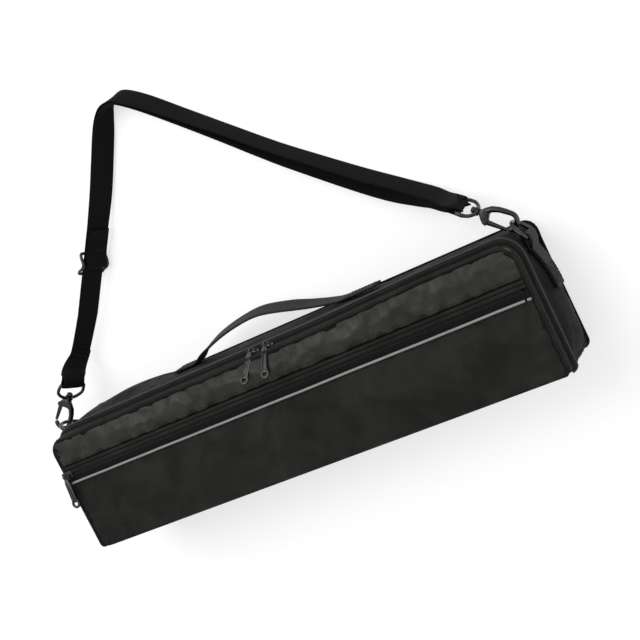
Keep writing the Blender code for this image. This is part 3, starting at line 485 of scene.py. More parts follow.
def finish_mesh(bm: BMesh, name: str, smooth_angle: float = 50.0) -> Piece:
    """Turn a bmesh into a linked object with smooth shading and outward faces.

    Args:
        bm: bmesh to turn; it is freed.
        name: piece name.
        smooth_angle: degrees above which an edge stays sharp.

    Returns:
        The object.
    """
    bmesh.ops.recalc_face_normals(bm, faces=bm.faces)
    mesh = bpy.data.meshes.new(name)
    bm.to_mesh(mesh)
    bm.free()
    mesh.shade_smooth()
    mesh.set_sharp_from_angle(angle=radians(smooth_angle))
    piece = bpy.data.objects.new(name, mesh)
    bpy.context.scene.collection.objects.link(piece)
    return piece


def skinned(name: str, rings: Sequence[Row], loop: bool = False, smooth_angle: float = 50.0) -> Piece:
    """Make an object from one set of rings."""
    return finish_mesh(skin_into(bmesh.new(), rings, loop), name, smooth_angle)


def tube_rings(points: Line, radius: float | Sequence[float], sides: int = 14, loop: bool = False) -> list[Row]:
    """Rings of a round tube along points, turning as little as they can.

    Args:
        points: centre line.
        radius: one radius, or one for each point.
        sides: points in each ring.
        loop: the line closes on itself.

    Returns:
        One ring for each point.
    """
    radii = [radius] * len(points) if isinstance(radius, (int, float)) else list(radius)
    rings, side = [], None
    for i, point in enumerate(points):
        before = points[i - 1] if loop or i else point
        after = points[(i + 1) % len(points)] if loop or i < len(points) - 1 else point
        tangent = (after - before).normalized()
        if side is None:
            side = tangent.cross(Vector((0, 0, 1)) if abs(tangent.z) < 0.85 else Vector((1, 0, 0)))
        side = (side - tangent * side.dot(tangent)).normalized()
        up = tangent.cross(side)
        turns = [2 * pi * k / sides for k in range(sides)]
        rings.append([point + (side * cos(a) + up * sin(a)) * radii[i] for a in turns])
    return rings


def curve_point(p0: Point, p1: Point, p2: Point, p3: Point, t: float) -> Point:
    """Catmull-Rom point a share of the way between the middle two of four points."""
    bend = (2 * p0 - 5 * p1 + 4 * p2 - p3) * t**2 + (3 * p1 - p0 - 3 * p2 + p3) * t**3
    return (2 * p1 + (p2 - p0) * t + bend) / 2


def rounded_line(points: Sequence[Sequence[float]], steps: int = 4, loop: bool = False) -> list[Vector]:
    """Read a Catmull-Rom curve through points.

    Args:
        points: points it goes through.
        steps: points from one to the next.
        loop: the curve closes on itself.

    Returns:
        Points of the curve.
    """
    places = [Vector(p) for p in points]
    if loop:
        padded = [places[-1], *places, places[0], places[1]]
    else:
        padded = [2 * places[0] - places[1], *places, 2 * places[-1] - places[-2]]
    fours = zip(padded, padded[1:], padded[2:], padded[3:])
    line = [curve_point(*four, k / steps) for four in fours for k in range(steps)]
    return line if loop else [*line, places[-1]]


def lathe_rings(profile: Sequence[tuple[float, float]], frame: Matrix, sides: int = 24) -> list[Row]:
    """Rings of a turned shape whose axis is the frame's first axis; the profile is (along, radius)."""
    turns = [2 * pi * k / sides for k in range(sides)]
    return [[frame @ Vector((a, r * cos(t), r * sin(t))) for t in turns] for a, r in profile]


def plate_into(
    bm: BMesh, outline: Sequence[tuple[float, float]], low: float, high: float, frame: Matrix, bevel: float
) -> None:
    """Add a flat plate with softened edges, drawn in the frame's first two axes.

    Args:
        bm: bmesh that gets the plate.
        outline: corners along and across.
        low: height of the underside.
        high: height of the upper side.
        frame: where the plate lies.
        bevel: width of the softened edge.
    """
    made = bmesh.new()
    skin_into(made, [[Vector((x, y, z)) for x, y in outline] for z in (low, high)])
    bmesh.ops.bevel(made, geom=made.edges[:], offset=bevel, segments=2, profile=0.6, affect="EDGES", clamp_overlap=True)
    made.transform(frame)
    mesh = bpy.data.meshes.new("plate")
    made.to_mesh(mesh)
    made.free()
    bm.from_mesh(mesh)
    bpy.data.meshes.remove(mesh)


def webbing_rings(points: Line, across: Line, width: float, thickness: float, cup: float = 0.0) -> list[Row]:
    """Rings of a woven tape with full, rounded edges.

    Args:
        points: centre line.
        across: a direction across the tape at each point.
        width: full width.
        thickness: full thickness.
        cup: how far the edges curl up, as a share of the width.

    Returns:
        One ring for each point.
    """
    half, thick = width / 2, thickness / 2
    shares = (-1.0, -0.93, -0.8, -0.4, 0.0, 0.4, 0.8, 0.93, 1.0)
    heights = (0.0, 0.75, 0.9, 1.0, 1.0, 1.0, 0.9, 0.75, 0.0)
    profile = [(s, h) for s, h in zip(shares, heights)] + [
        (s, -h) for s, h in reversed(list(zip(shares, heights))[1:-1])
    ]
    rings = []
    for i, point in enumerate(points):
        tangent = (points[min(i + 1, len(points) - 1)] - points[max(i - 1, 0)]).normalized()
        side = (across[i] - tangent * across[i].dot(tangent)).normalized()
        up = side.cross(tangent).normalized()
        rings.append([point + side * (s * half) + up * (h * thick + cup * half * s * s) for s, h in profile])
    return rings


def bead_ring(centre: Vector, side: Vector, lift: Vector, radius: float, swell: float) -> Row:
    """Six points round a sewn thread or a turn of a coil."""
    turns = [pi * k / 3 for k in range(6)]
    return [centre + (side * cos(a) + lift * sin(a)) * radius * swell for a in turns]


def bead_into(bm: BMesh, rings: Sequence[Row], place: float) -> None:
    """Add one stitch or one turn of a coil, open at its sunken ends.

    Args:
        bm: bmesh that gets the faces.
        rings: rings of six points, one behind the other.
        place: distance along the row, in metres, for the UV map.
    """
    uv = cloth_map(bm)
    grid = [[bm.verts.new(p) for p in ring] for ring in rings]
    for first, second in zip(grid, grid[1:]):
        for j in range(6):
            face = bm.faces.new((first[j], first[(j + 1) % 6], second[(j + 1) % 6], second[j]))
            for corner in face.loops:
                corner[uv].uv = (place, 0.0)


def stitches_into(bm: BMesh, line: Line, lifts: Line, pitch: float = 0.0034, radius: float = 0.00032) -> None:
    """Lay a row of sewn stitches along a line.

    Args:
        bm: bmesh that gets the stitches.
        line: where the row runs.
        lifts: outward direction of the cloth at each point of the line.
        pitch: distance from stitch to stitch; drawn coarser than the real 2.5 mm so that it shows.
        radius: thickness of the thread's loop.
    """
    run = lengths_along(line)
    place, at = pitch * 0.5, 0
    while place + pitch * STITCH[-1][0] < run[-1]:
        rings = []
        for share, swell, rise in STITCH:
            here = place + pitch * share
            while at < len(run) - 2 and run[at + 1] < here:
                at += 1
            while at > 0 and run[at] > here:
                at -= 1
            part = (here - run[at]) / max(run[at + 1] - run[at], 1e-9)
            tangent = (line[at + 1] - line[at]).normalized()
            lift = lifts[at].lerp(lifts[min(at + 1, len(lifts) - 1)], part).normalized()
            side = tangent.cross(lift).normalized()
            centre = line[at].lerp(line[at + 1], part) + lift * rise * radius
            rings.append(bead_ring(centre, side, lift, radius, swell))
        bead_into(bm, rings, place)
        place += pitch


def teeth_into(
    bm: BMesh, line: Line, crosses: Line, lifts: Line, start: float, pitch: float, half: float = 0.00125
) -> None:
    """Lay the coil's visible turns across a zip's edge.

    Args:
        bm: bmesh that gets the turns.
        line: middle of the row of turns.
        crosses: direction across the zip at each point.
        lifts: outward direction at each point.
        start: place of the first turn along the line.
        pitch: distance from turn to turn.
        half: half of a turn's length across the zip.
    """
    run = lengths_along(line)
    radius = pitch * 0.34
    place, at = start, 0
    while place < run[-1]:
        while at < len(run) - 2 and run[at + 1] < place:
            at += 1
        part = (place - run[at]) / max(run[at + 1] - run[at], 1e-9)
        centre = line[at].lerp(line[at + 1], part)
        cross, lift = crosses[at].normalized(), lifts[at].normalized()
        tangent = (line[at + 1] - line[at]).normalized()
        rings = []
        for share, swell, rise in COIL_TURN:
            middle = centre + cross * half * share + lift * radius * rise
            rings.append(bead_ring(middle, tangent, lift, radius, swell))
        bead_into(bm, rings, place)
        place += pitch


def arch(share: float) -> float:
    """Swell across a side, from nothing at one seam to nothing at the other."""
    return sin(pi * min(max(share, 0.0), 1.0))


def fullness(share: float) -> float:
    """How far a padded side swells along its length."""
    return 1 - abs(2 * share - 1) ** 3


def ease(share: float) -> float:
    """Smooth step from nothing to one."""
    share = min(max(share, 0.0), 1.0)
    return share * share * (3 - 2 * share)


def flat(share: float) -> float:
    """Curve of a strip that lies flat on what is under it."""
    return 0.0


def hem_roll(rise: float) -> Curve:
    """Curve of a rolled hem across its width, up to its rise in the middle."""
    return lambda share: rise * sqrt(max(0.0, 1 - (2 * share - 1) ** 4)) + 0.0001


def ripple(place: Vector, grain: float, seed: float = 0.0) -> float:
    """Smooth noise from about -1 to 1 with waves of a real size."""
    return noise.noise(place / grain + Vector((seed, seed * 0.7, -seed)))


def puffed(
    name: str, grid: Sequence[Row], slack: float, pressure: float, low: float, high: float,
    outward: Callable[[int, int], Vector], slide_limit: float = 0.0015, frames: int = 20,
) -> list[Row]:
    """Let a sewn cloth settle between its seams.

    It is held all round, a little too large for its frame, and pushed out by its padding.

    Args:
        name: name of the cloth while it is simulated.
        grid: rows of points of the cloth at rest.
        slack: how much larger the cloth is than its frame, as a share.
        pressure: outward push of the padding.
        low: furthest that a point may sink, negative.
        high: furthest that a point may rise.
        outward: direction out of the cloth for a row and column.
        slide_limit: furthest that a point may slide within the cloth.
        frames: length of the simulation.

    Returns:
        The settled grid.
    """
    bm = bmesh.new()
    verts = [
        [bm.verts.new(p + outward(i, j) * 0.0004 * ripple(p, 0.012, 3.0)) for j, p in enumerate(row)]
        for i, row in enumerate(grid)
    ]
    for first, second in zip(verts, verts[1:]):
        for j in range(len(first) - 1):
            bm.faces.new((first[j], first[j + 1], second[j + 1], second[j]))
    mesh = bpy.data.meshes.new(name)
    bm.to_mesh(mesh)
    bm.free()
    cloth = bpy.data.objects.new(name, mesh)
    bpy.context.scene.collection.objects.link(cloth)
    rows, columns = len(grid), len(grid[0])
    held = cloth.vertex_groups.new(name="seams")
    rim = [i * columns + j for i in range(rows) for j in (0, columns - 1)]
    rim += [i * columns + j for i in (0, rows - 1) for j in range(columns)]
    held.add(rim, 1.0, "REPLACE")
    settings = cloth.modifiers.new("settle", "CLOTH").settings
    settings.quality = 6
    settings.mass = 0.2
    settings.tension_stiffness = settings.compression_stiffness = 30
    settings.shear_stiffness = 15
    settings.bending_stiffness = 0.3
    settings.use_pressure = True
    settings.uniform_pressure_force = pressure
    settings.shrink_min = -slack
    settings.vertex_group_mass = "seams"
    settings.effector_weights.gravity = 0
    scene = bpy.context.scene
    for step in range(1, frames + 1):
        scene.frame_set(step)
    shape = cloth.evaluated_get(bpy.context.evaluated_depsgraph_get()).to_mesh()
    settled = [v.co.copy() for v in shape.vertices]
    cloth.evaluated_get(bpy.context.evaluated_depsgraph_get()).to_mesh_clear()
    bpy.data.objects.remove(cloth, do_unlink=True)
    scene.frame_set(1)
    result = []
    for i, row in enumerate(grid):
        moved = []
        for j, rest in enumerate(row):
            shift = settled[i * columns + j] - rest
            out = outward(i, j)
            rise = shift.dot(out)
            slide = shift - out * rise
            if slide.length > slide_limit:
                slide *= slide_limit / slide.length
            moved.append(rest + slide + out * max(low, min(high, rise)))
        result.append(moved)
    return result


# What the pieces wear

@dataclass
class Wardrobe:
    """Finishes by name, and the materials made from them so far."""

    finishes: dict[str, Finish]
    made: dict[str, Material] = field(default_factory=dict)

    def dress(self, piece: Piece, finish: str, body: str | None, stands_for: Iterable[str] = ()) -> Piece:
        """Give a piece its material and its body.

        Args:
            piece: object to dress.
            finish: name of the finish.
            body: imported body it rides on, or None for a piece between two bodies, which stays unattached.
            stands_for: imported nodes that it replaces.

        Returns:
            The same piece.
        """
        if finish not in self.made:
            self.made[finish] = self.finishes[finish].material()
        piece.data.materials.clear()
        piece.data.materials.append(self.made[finish])
        if body:
            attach(piece, body)
        if stands_for:
            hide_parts(*stands_for)
        log.info("%s: %s on %s", piece.name, finish, body or "two bodies")
        return piece


Dress = Callable[..., Piece]

# The case

@dataclass(frozen=True)
class Station:
    """A place on the outline of the sides: point, outward normal and shares of its swells.

    end and long are shares of an end's and a long side's swell, square of the squarer back corner.
    """

    x: float
    y: float
    nx: float
    ny: float
    end: float = 0.0
    long: float = 0.0
    square: float = 0.0

    def at(self, out: float, z: float) -> Vector:
        """Point at a distance out of the wall and a height."""
        return Vector((self.x + self.nx * out, self.y + self.ny * out, z))

    @property
    def normal(self) -> Vector:
        """Outward direction."""
        return Vector((self.nx, self.ny, 0))


@dataclass(frozen=True)
class CaseShape:
    """Sizes of the padded case that all its cloth shares."""

    half_length: float = 0.215
    half_height: float = 0.052
    corner: float = 0.016
    lower_corner: float = 0.005
    back_corner: float = 0.008
    back_fill: float = 0.0033
    back: float = 0.005
    wall: float = 0.0045
    gusset_top: float = 0.062
    split: float = 0.0714
    lid_seam: float = 0.0778
    hinge: float = 0.0701
    end_swell: float = 0.0055
    top_swell: float = 0.0024
    bottom_swell: float = 0.0012
    split_inset: float = 0.0034
    seam_inset_top: float = 0.0046
    seam_drift: float = 0.0012
    top_drift: float = 0.0022
    end_drift: float = 0.0048
    drift_start: float = 0.03
    drift_run: float = 0.13
    left_bulge: float = 0.0046
    bulge_place: float = -0.16
    bulge_spread: float = 0.044
    bulge_foot: float = 0.008
    bulge_fade: float = 0.024
    seam_inset_end: float = 0.0012
    gap: float = 0.0003

    @property
    def end_low(self) -> float:
        """Where an end's straight part starts."""
        return -self.half_height + self.lower_corner

    @property
    def end_high(self) -> float:
        """Where an end's straight part stops."""
        return self.half_height - self.corner

    def right_share(self, x: float) -> float:
        """Zero over the left and middle, one at the right end."""
        return ease((x - self.drift_start) / self.drift_run)

    def bulge(self, x: float, z: float) -> float:
        """How far the top side swells out beside the handle's left foot, below the zip's straight run.

        Args:
            x: place along the side.
            z: height.

        Returns:
            The distance outwards.
        """
        fall = ease((z - self.bulge_fade) / (self.gusset_top - self.bulge_fade))
        rise = min(max(z / self.bulge_foot, 0.0), 1.0)
        swell = self.left_bulge * exp(-(((x - self.bulge_place) / self.bulge_spread) ** 2))
        return swell * rise * (1 - fall)

    def drift(self, station: Station, z: float) -> float:
        """How far the soft sides stand out at a height, beyond their own swell.

        The top side leans out near its right end and bulges near its left, and the left end leans out.

        Args:
            station: place along the sides.
            z: height.

        Returns:
            The distance outwards.
        """
        share = min(max((z - self.back) / (self.gusset_top - self.back), 0.0), 1.0)
        top = self.top_drift * self.right_share(station.x) * max(station.ny, 0.0) ** 2
        end = self.end_drift * max(-station.nx, 0.0) ** 2
        return (top + end) * share + self.bulge(station.x, z) * max(station.ny, 0.0) ** 2

    def lid_inset(self, x: float) -> float:
        """How far the lid's top seam stands in from the side; the band narrows towards the right."""
        return self.seam_inset_top - (self.seam_drift + self.top_drift) * self.right_share(x)

    def sides(self, step: float = 0.003, wrap: bool = False) -> list[Station]:
        """Stations up the left end, along the top and down the right end.

        Args:
            step: distance between stations.
            wrap: whether they start and stop round the lower corners, a little outside them.

        Returns:
            The stations in order.
        """
        first: list[Station] = []
        if wrap:
            for turn in np.linspace(1.44 * pi, pi, 9)[:-1]:
                reach = self.lower_corner + 0.0007 * min(1.0, (turn - pi) / 0.5)
                middle = self.half_length - self.lower_corner
                nx, ny = cos(turn), sin(turn)
                first.append(Station(-middle + reach * nx, self.end_low + reach * ny, nx, ny))
        count = round((self.end_high - self.end_low) / step)
        for y in np.linspace(self.end_low + self.gap, self.end_high, count)[:-1]:
            share = (y - self.end_low) / (self.end_high - self.end_low)
            first.append(Station(-self.half_length, float(y), -1, 0, fullness(share)))
        reach = self.half_length - self.corner
        for turn in np.linspace(pi, pi / 2, 11):
            nx, ny = cos(turn), sin(turn)
            x, y = -reach + self.corner * nx, self.end_high + self.corner * ny
            first.append(Station(x, y, nx, ny, square=sin(2 * turn) ** 2))
        mirrored = [Station(-s.x, s.y, -s.nx, s.ny, s.end, s.long, s.square) for s in reversed(first)]
        level = [
            Station(float(x), self.half_height, 0, 1, 0.0, fullness((x + reach) / (2 * reach)))
            for x in np.linspace(-reach, reach, round(2 * reach / step))[1:-1]
        ]
        return [*first, *level, *mirrored]

    def underside(self, step: float = 0.003) -> list[Station]:
        """Stations along the bottom from corner to corner.

        Args:
            step: distance between stations.

        Returns:
            The stations in order.
        """
        reach = self.half_length - self.lower_corner
        first = []
        for turn in np.linspace(pi + self.gap / self.lower_corner, 1.5 * pi, 8):
            nx, ny = cos(turn), sin(turn)
            first.append(Station(-reach + self.lower_corner * nx, self.end_low + self.lower_corner * ny, nx, ny))
        mirrored = [Station(-s.x, s.y, -s.nx, s.ny) for s in reversed(first)]
        level = [
            Station(float(x), -self.half_height, 0, -1, 0.0, fullness((x + reach) / (2 * reach)))
            for x in np.linspace(-reach, reach, round(2 * reach / step))[1:-1]
        ]
        return [*first, *level, *mirrored]

    def inset(self, station: Station, z: float) -> float:
        """How far the shoulder that carries the zip leans in at a height.

        Args:
            station: place along the sides.
            z: height.

        Returns:
            The distance inwards.
        """
        if z < self.split:
            top = self.split_inset * (z - self.gusset_top) / (self.split - self.gusset_top)
        else:
            seam = self.seam_inset_top - self.seam_drift * self.right_share(station.x)
            top = self.split_inset + (seam - self.split_inset) * (z - self.split) / (self.lid_seam - self.split)
        end = self.seam_inset_end * (z - self.gusset_top) / (self.lid_seam - self.gusset_top)
        return top * station.ny**2 + end * station.nx**2 - self.drift(station, z)

    def shoulder(self, station: Station, z: float, lift: float = 0.0) -> Vector:
        """Point on the shoulder at a height, lifted off its surface."""
        lean = self.shoulder_lift(station, z)
        return station.at(-self.inset(station, z), z) + lean * lift

    def shoulder_lift(self, station: Station, z: float) -> Vector:
        """Outward direction of the shoulder at a height.

        Args:
            station: place along the sides.
            z: height.

        Returns:
            A unit vector.
        """
        step = 0.0004
        above = station.at(-self.inset(station, z + step), z + step)
        below = station.at(-self.inset(station, z - step), z - step)
        slope = (above - below).normalized()
        return (station.normal - slope * station.normal.dot(slope)).normalized()

    def low_edge(self, x: float, reach: float, inset: float = 0.0, radius: float | None = None) -> float:
        """Lower edge of a panel at a place along its length."""
        radius = self.lower_corner if radius is None else radius
        return -self.half_height + inset + radius - corner_rise(x, reach, radius)

    def high_edge(self, x: float, reach: float, inset: float = 0.0, radius: float | None = None) -> float:
        """Upper edge of a panel at a place along its length."""
        radius = self.corner if radius is None else radius
        return self.half_height - inset - radius + corner_rise(x, reach, radius)


def corner_rise(x: float, reach: float, radius: float) -> float:
    """Height of a panel's edge above its corner's centre; past the corner it falls to nothing."""
    over = max(0.0, abs(x) - (reach - radius))
    return sqrt(max(radius**2 - over**2, 0))


def panel_columns(reach: float, radius: float, step: float = 0.003) -> list[float]:
    """Places along a panel, closer together round its corners.

    Args:
        reach: half of its length.
        radius: radius of its corners.
        step: distance between places.

    Returns:
        The places from left to right.
    """
    middle = list(np.linspace(-(reach - radius), reach - radius, round(2 * (reach - radius) / step)))
    ends = [reach - radius + radius * sin(t) for t in np.linspace(0, pi / 2, 9)[1:]]
    return [-x for x in reversed(ends)] + [float(x) for x in middle] + ends


@dataclass
class PaddedPanel:
    """A stuffed panel between two edge curves, with edges that roll down into its seams."""

    name: str
    reach: float
    radius: float
    low: Curve
    high: Curve
    floor: float
    edge: float
    crown: float
    rows: int
    roll: float = 0.0016
    shift: float = 0.0
    slack: float = 0.0
    pressure: float = 2.0
    sink: float = -0.0012
    rise: float = 0.0012
    down: bool = False

    def front(self) -> list[Row]:
        """Grid of the front surface, settled by simulation where it has slack.

        Returns:
            Rows of points across the panel.
        """
        columns = panel_columns(self.reach, self.radius)
        count = self.rows - 1
        shares = [(1 - cos(pi * k / count)) / 2 * 0.35 + k / count * 0.65 for k in range(self.rows)]
        grid = []
        for x in columns:
            low, high = self.low(x), self.high(x)
            row = []
            for share in shares:
                y = low + (high - low) * share
                crown = arch(share) * fullness((x + self.reach) / (2 * self.reach))
                row.append(Vector((x + self.shift, y, self.edge + self.crown * crown)))
            grid.append(row)
        if self.slack:
            grid = puffed(self.name, grid, self.slack, self.pressure, self.sink, self.rise, lambda i, j: UP)
        for i, row in enumerate(grid):
            for j, p in enumerate(row):
                near = min(p.y - row[0].y, row[-1].y - p.y, self.reach - abs(columns[i]))
                if near < self.roll:
                    drop = self.roll - sqrt(max(self.roll**2 - (self.roll - near) ** 2, 0))
                    p.z -= drop * 0.9
        return grid

    def build(self) -> Piece:
        """Skin the front and a flat back into one closed piece.

        Returns:
            The panel.
        """
        rings = []
        for row in self.front():
            back = [Vector((p.x, p.y, self.floor)) for p in reversed(row)]
            ring = [*row, *back]
            if self.down:
                ring = [Vector((p.x, p.y, 2 * self.floor - p.z)) for p in ring]
            rings.append(ring)
        return skinned(self.name, rings, smooth_angle=75)


@dataclass
class CaseBody:
    """Padded back, sides and lining of the case."""

    shape: CaseShape
    dress: Dress
    lining: float = 0.0012
    lining_corner: float = 0.009
    wall_rows: int = 22
    slack: float = 0.012
    pressure: float = 1.5
    seam_sink: float = 0.0012
    seam_reach: float = 0.0022
    pad_roll: float = 0.0016
    pad_reach: float = 0.004
    pad_rows: int = 24
    binding: float = 0.0013
    slumps: tuple[Triple, ...] = ((1.1, 0.105, 0.034), (0.35, -0.15, 0.02))

    def wall(
        self, name: str, stations: list[Station], top: float, swell: Callable[[Station], float],
        limits: tuple[float, float],
    ) -> Piece:
        """A padded side held between two seams.

        Args:
            name: piece name.
            stations: places along the side.
            top: height of its upper seam.
            swell: how far it swells at a station.
            limits: furthest that the settled cloth may sink and rise.

        Returns:
            The side.
        """
        shape = self.shape
        low = shape.back + shape.gap
        heights = [low + (top - low) * k / self.wall_rows for k in range(self.wall_rows + 1)]
        grid = []
        for st in stations:
            fill, row = shape.back_fill * st.square, []
            for z in heights:
                padding = swell(st) * arch((z - shape.back) / (top - shape.back))
                row.append(st.at(padding + fill * (top - z) / (top - low) + shape.drift(st, z), z))
            grid.append(row)
        grid = puffed(name, grid, self.slack, self.pressure, *limits, lambda i, j: stations[i].normal)
        for st, row in zip(stations, grid):
            for z, point in zip(heights, row):
                near = min(z - low, top - z)
                point -= st.normal * self.seam_sink * max(0.0, 1 - near / self.seam_reach) ** 2
        rings = [[*row, st.at(-shape.wall, top), st.at(-shape.wall, low)] for st, row in zip(stations, grid)]
        return skinned(name, rings, smooth_angle=70)

    def slump(self, x: float) -> float:
        """Share of the top side's swell that is left along it.

        It falls in beside the handle's right foot, and a little beside its left one.

        Args:
            x: place along the side.

        Returns:
            The share, one where the side is full.
        """
        left = 1.0
        for depth, place, spread in self.slumps:
            left -= depth * exp(-(((x - place) / spread) ** 2))
        return left

    def build(self) -> None:
        """Make the case's cloth."""
        shape = self.shape
        gusset = self.wall(
            "gusset_wall", shape.sides(), shape.gusset_top,
            lambda s: shape.end_swell * s.end + shape.top_swell * s.long * self.slump(s.x), (-0.0016, 0.0001)
        )
        self.dress(gusset, "side nylon", "case", ["gusset_band"])
        bottom = self.wall(
            "bottom_wall", shape.underside(), shape.hinge, lambda s: shape.bottom_swell * s.long, (-0.001, 0.0008)
        )
        self.dress(bottom, "side nylon", "case", ["bottom_panel"])
        self.back_pad()
        self.back_binding()
        self.linings()

    def back_pad(self) -> None:
        """Flat padded back with a gentle roll at its seams."""
        shape = self.shape
        columns = panel_columns(shape.half_length, shape.corner)
        rings = []
        for x in columns:
            low = shape.low_edge(x, shape.half_length)
            high = shape.high_edge(x, shape.half_length, radius=shape.back_corner)
            under, over = [], []
            for k in range(self.pad_rows + 1):
                y = low + (high - low) * (k / self.pad_rows)
                near = min(y - low, high - y, shape.half_length - abs(x))
                under.append(Vector((x, y, self.pad_roll * max(0.0, 1 - near / self.pad_reach) ** 2)))
                over.append(Vector((x, y, shape.back)))
            rings.append([*under, *reversed(over)])
        pad = skinned("back_pad", rings, smooth_angle=70)
        self.dress(pad, "side nylon", "case", ["back_panel"])

    def back_binding(self) -> None:
        """Bound seam that joins the back to the sides."""
        shape = self.shape
        stations = [*shape.sides(), *reversed(shape.underside())]
        line = [st.at(0.0002 + shape.back_fill * st.square, shape.back + 0.0003) for st in stations]
        binding = skinned("back_seam_binding", tube_rings(line, self.binding, 10, loop=True), loop=True)
        self.dress(binding, "seam binding", "case")

    def linings(self) -> None:
        """Smooth lining round the walls and over the back."""
        shape = replace(self.shape, lower_corner=self.lining_corner)
        stations = [*shape.sides(0.006), *list(reversed(shape.underside(0.006)))[1:-1]]
        outer = -shape.wall - shape.gap
        low, high = shape.back + shape.gap, shape.gusset_top - shape.gap
        heights = np.linspace(low, high, 9)
        rings = []
        for st in stations:
            folds = [ripple(st.at(0, z), 0.016, 5.0) * 0.0004 for z in heights]
            face = [st.at(outer - self.lining - 0.0002 + fold, float(z)) for fold, z in zip(folds, heights)]
            rings.append([st.at(outer, low), st.at(outer, high), *reversed(face)])
        cloth = skinned("wall_lining_cloth", rings, loop=True, smooth_angle=70)
        self.dress(cloth, "lining taffeta", "case", ["wall_lining"])
        inset = shape.wall + self.lining + 3 * shape.gap
        reach = shape.half_length - inset
        floor = PaddedPanel(
            "floor_lining_pad", reach, shape.corner - inset,
            lambda x: shape.low_edge(x, reach, inset, shape.lower_corner - inset),
            lambda x: shape.high_edge(x, reach, inset, shape.corner - inset), low, low + self.lining, 0.0008, 14,
            roll=0.001
        ).build()
        self.dress(floor, "lining taffeta", "case", ["floor_lining"])


@dataclass
class MainZip:
    """Zip that runs up one end, along the top and down the other: tapes, hems, coils and the piping beside it."""

    shape: CaseShape
    dress: Dress
    tape: float = 0.0009
    hem: float = 0.0032
    hem_rise: float = 0.0008
    coil_pitch: float = 0.0016
    coil_offset: float = 0.0011
    split_half: float = 0.0008
    bead: float = 0.0004
    bead_offset: float = 0.0027
    tuck: float = 0.0045
    tuck_drops: tuple[float, float] = (0.0008, 0.0012)
    piping: float = 0.0011
    count: int = 9

    def band(
        self, name: str, low: float, high: float, lift: Curve, finish: str, body: str, stands_for: Sequence[str] = (),
        tuck: float = 0.0,
    ) -> None:
        """A strip of cloth on the shoulder between two heights.

        Args:
            name: piece name.
            low: lower height.
            high: upper height.
            lift: how far it stands off the shoulder at a share of its width.
            finish: what it is made of.
            body: body it rides on.
            stands_for: nodes that it replaces.
            tuck: how far its upper edge goes on inwards, under the panel.
        """
        shape, last = self.shape, self.count - 1
        heights = [low + (high - low) * k / last for k in range(self.count)]
        rings = []
        for st in shape.sides(wrap=True):
            wave = 0.00012 * ripple(st.at(0, low), 0.02, 8.0)
            face = [shape.shoulder(st, z, lift(k / last) + wave) for k, z in enumerate(heights)]
            inner = [st.at(-shape.inset(st, high) - tuck, high - drop) for drop in self.tuck_drops] if tuck else []
            rings.append([*face, *inner, shape.shoulder(st, high, -self.tape), shape.shoulder(st, low, -self.tape)])
        self.dress(skinned(name, rings, smooth_angle=70), finish, body, stands_for)

    def build(self) -> None:
        """Make both halves of the zip and the piping beside it."""
        shape = self.shape
        seam, low, high = shape.gusset_top, shape.split - self.split_half, shape.split + self.split_half
        self.band("base_tape_cloth", seam + shape.gap, low, flat, "zip tape", "case", ["base_zip_tape"])
        self.band("lid_tape_cloth", high, shape.lid_seam, flat, "zip tape", "lid", ["lid_zip_tape"], self.tuck)
        roll = hem_roll(self.hem_rise)
        self.band("base_tape_hem", seam + shape.gap, seam + self.hem, roll, "side nylon", "case")
        self.band("lid_tape_hem", shape.lid_seam - self.hem * 0.7, shape.lid_seam + 0.0002, roll, "side nylon", "lid")
        stations = shape.sides(wrap=True)
        for name, z, body in (
            ("base_hem_stitches", seam + self.hem * 0.78, "case"),
            ("lid_hem_stitches", shape.lid_seam - self.hem * 0.5, "lid")
        ):
            bm = bmesh.new()
            lifts = [shape.shoulder_lift(st, z) for st in stations]
            stitches_into(bm, [shape.shoulder(st, z, self.hem_rise + 0.0001) for st in stations], lifts)
            self.dress(finish_mesh(bm, name), "sewing thread", body)
        lifts = [shape.shoulder_lift(st, shape.split) for st in stations]
        crosses = [Vector((-st.ny, st.nx, 0)).cross(lift) for st, lift in zip(stations, lifts)]
        for name, offset, start, body in (
            ("case_zip_coil", -self.coil_offset, 0.0, "case"), ("lid_zip_coil", self.coil_offset, 0.5, "lid")
        ):
            bm = bmesh.new()
            line = [shape.shoulder(st, shape.split + offset, -0.0002) for st in stations]
            teeth_into(bm, line, crosses, lifts, start * self.coil_pitch, self.coil_pitch)
            self.dress(finish_mesh(bm, name), "nylon coil", body)
        for name, offset, body in (
            ("case_tape_bead", -self.bead_offset, "case"), ("lid_tape_bead", self.bead_offset, "lid")
        ):
            line = [shape.shoulder(st, shape.split + offset, 0.0001) for st in stations]
            self.dress(skinned(name, tube_rings(line, self.bead, 8)), "zip tape", body)
        self.cord(stations)

    def cord(self, stations: list[Station]) -> None:
        """Piping in the seam below the zip, and the stitches under it.

        Args:
            stations: places along the sides.
        """
        shape = self.shape
        waves = [0.0001 * ripple(st.at(0, 0), 0.015, 2.0) for st in stations]
        line = [
            st.at(self.piping + shape.drift(st, 1) + wave, shape.gusset_top - shape.gap)
            for st, wave in zip(stations, waves)
        ]
        cord = skinned("gusset_piping_cord", tube_rings(line, self.piping, 12))
        self.dress(cord, "piping cloth", "case", ["gusset_piping"])
        bm = bmesh.new()
        z = shape.gusset_top - 0.0036
        low, high = shape.back, shape.gusset_top
        swell = [shape.end_swell * st.end + shape.top_swell * st.long for st in stations]
        line = [
            st.at(s * arch((z - low) / (high - low)) + shape.drift(st, z) + 0.00015, z)
            for s, st in zip(swell, stations)
        ]
        stitches_into(bm, line, [st.normal for st in stations])
        self.dress(finish_mesh(bm, "gusset_stitches"), "sewing thread", "case")


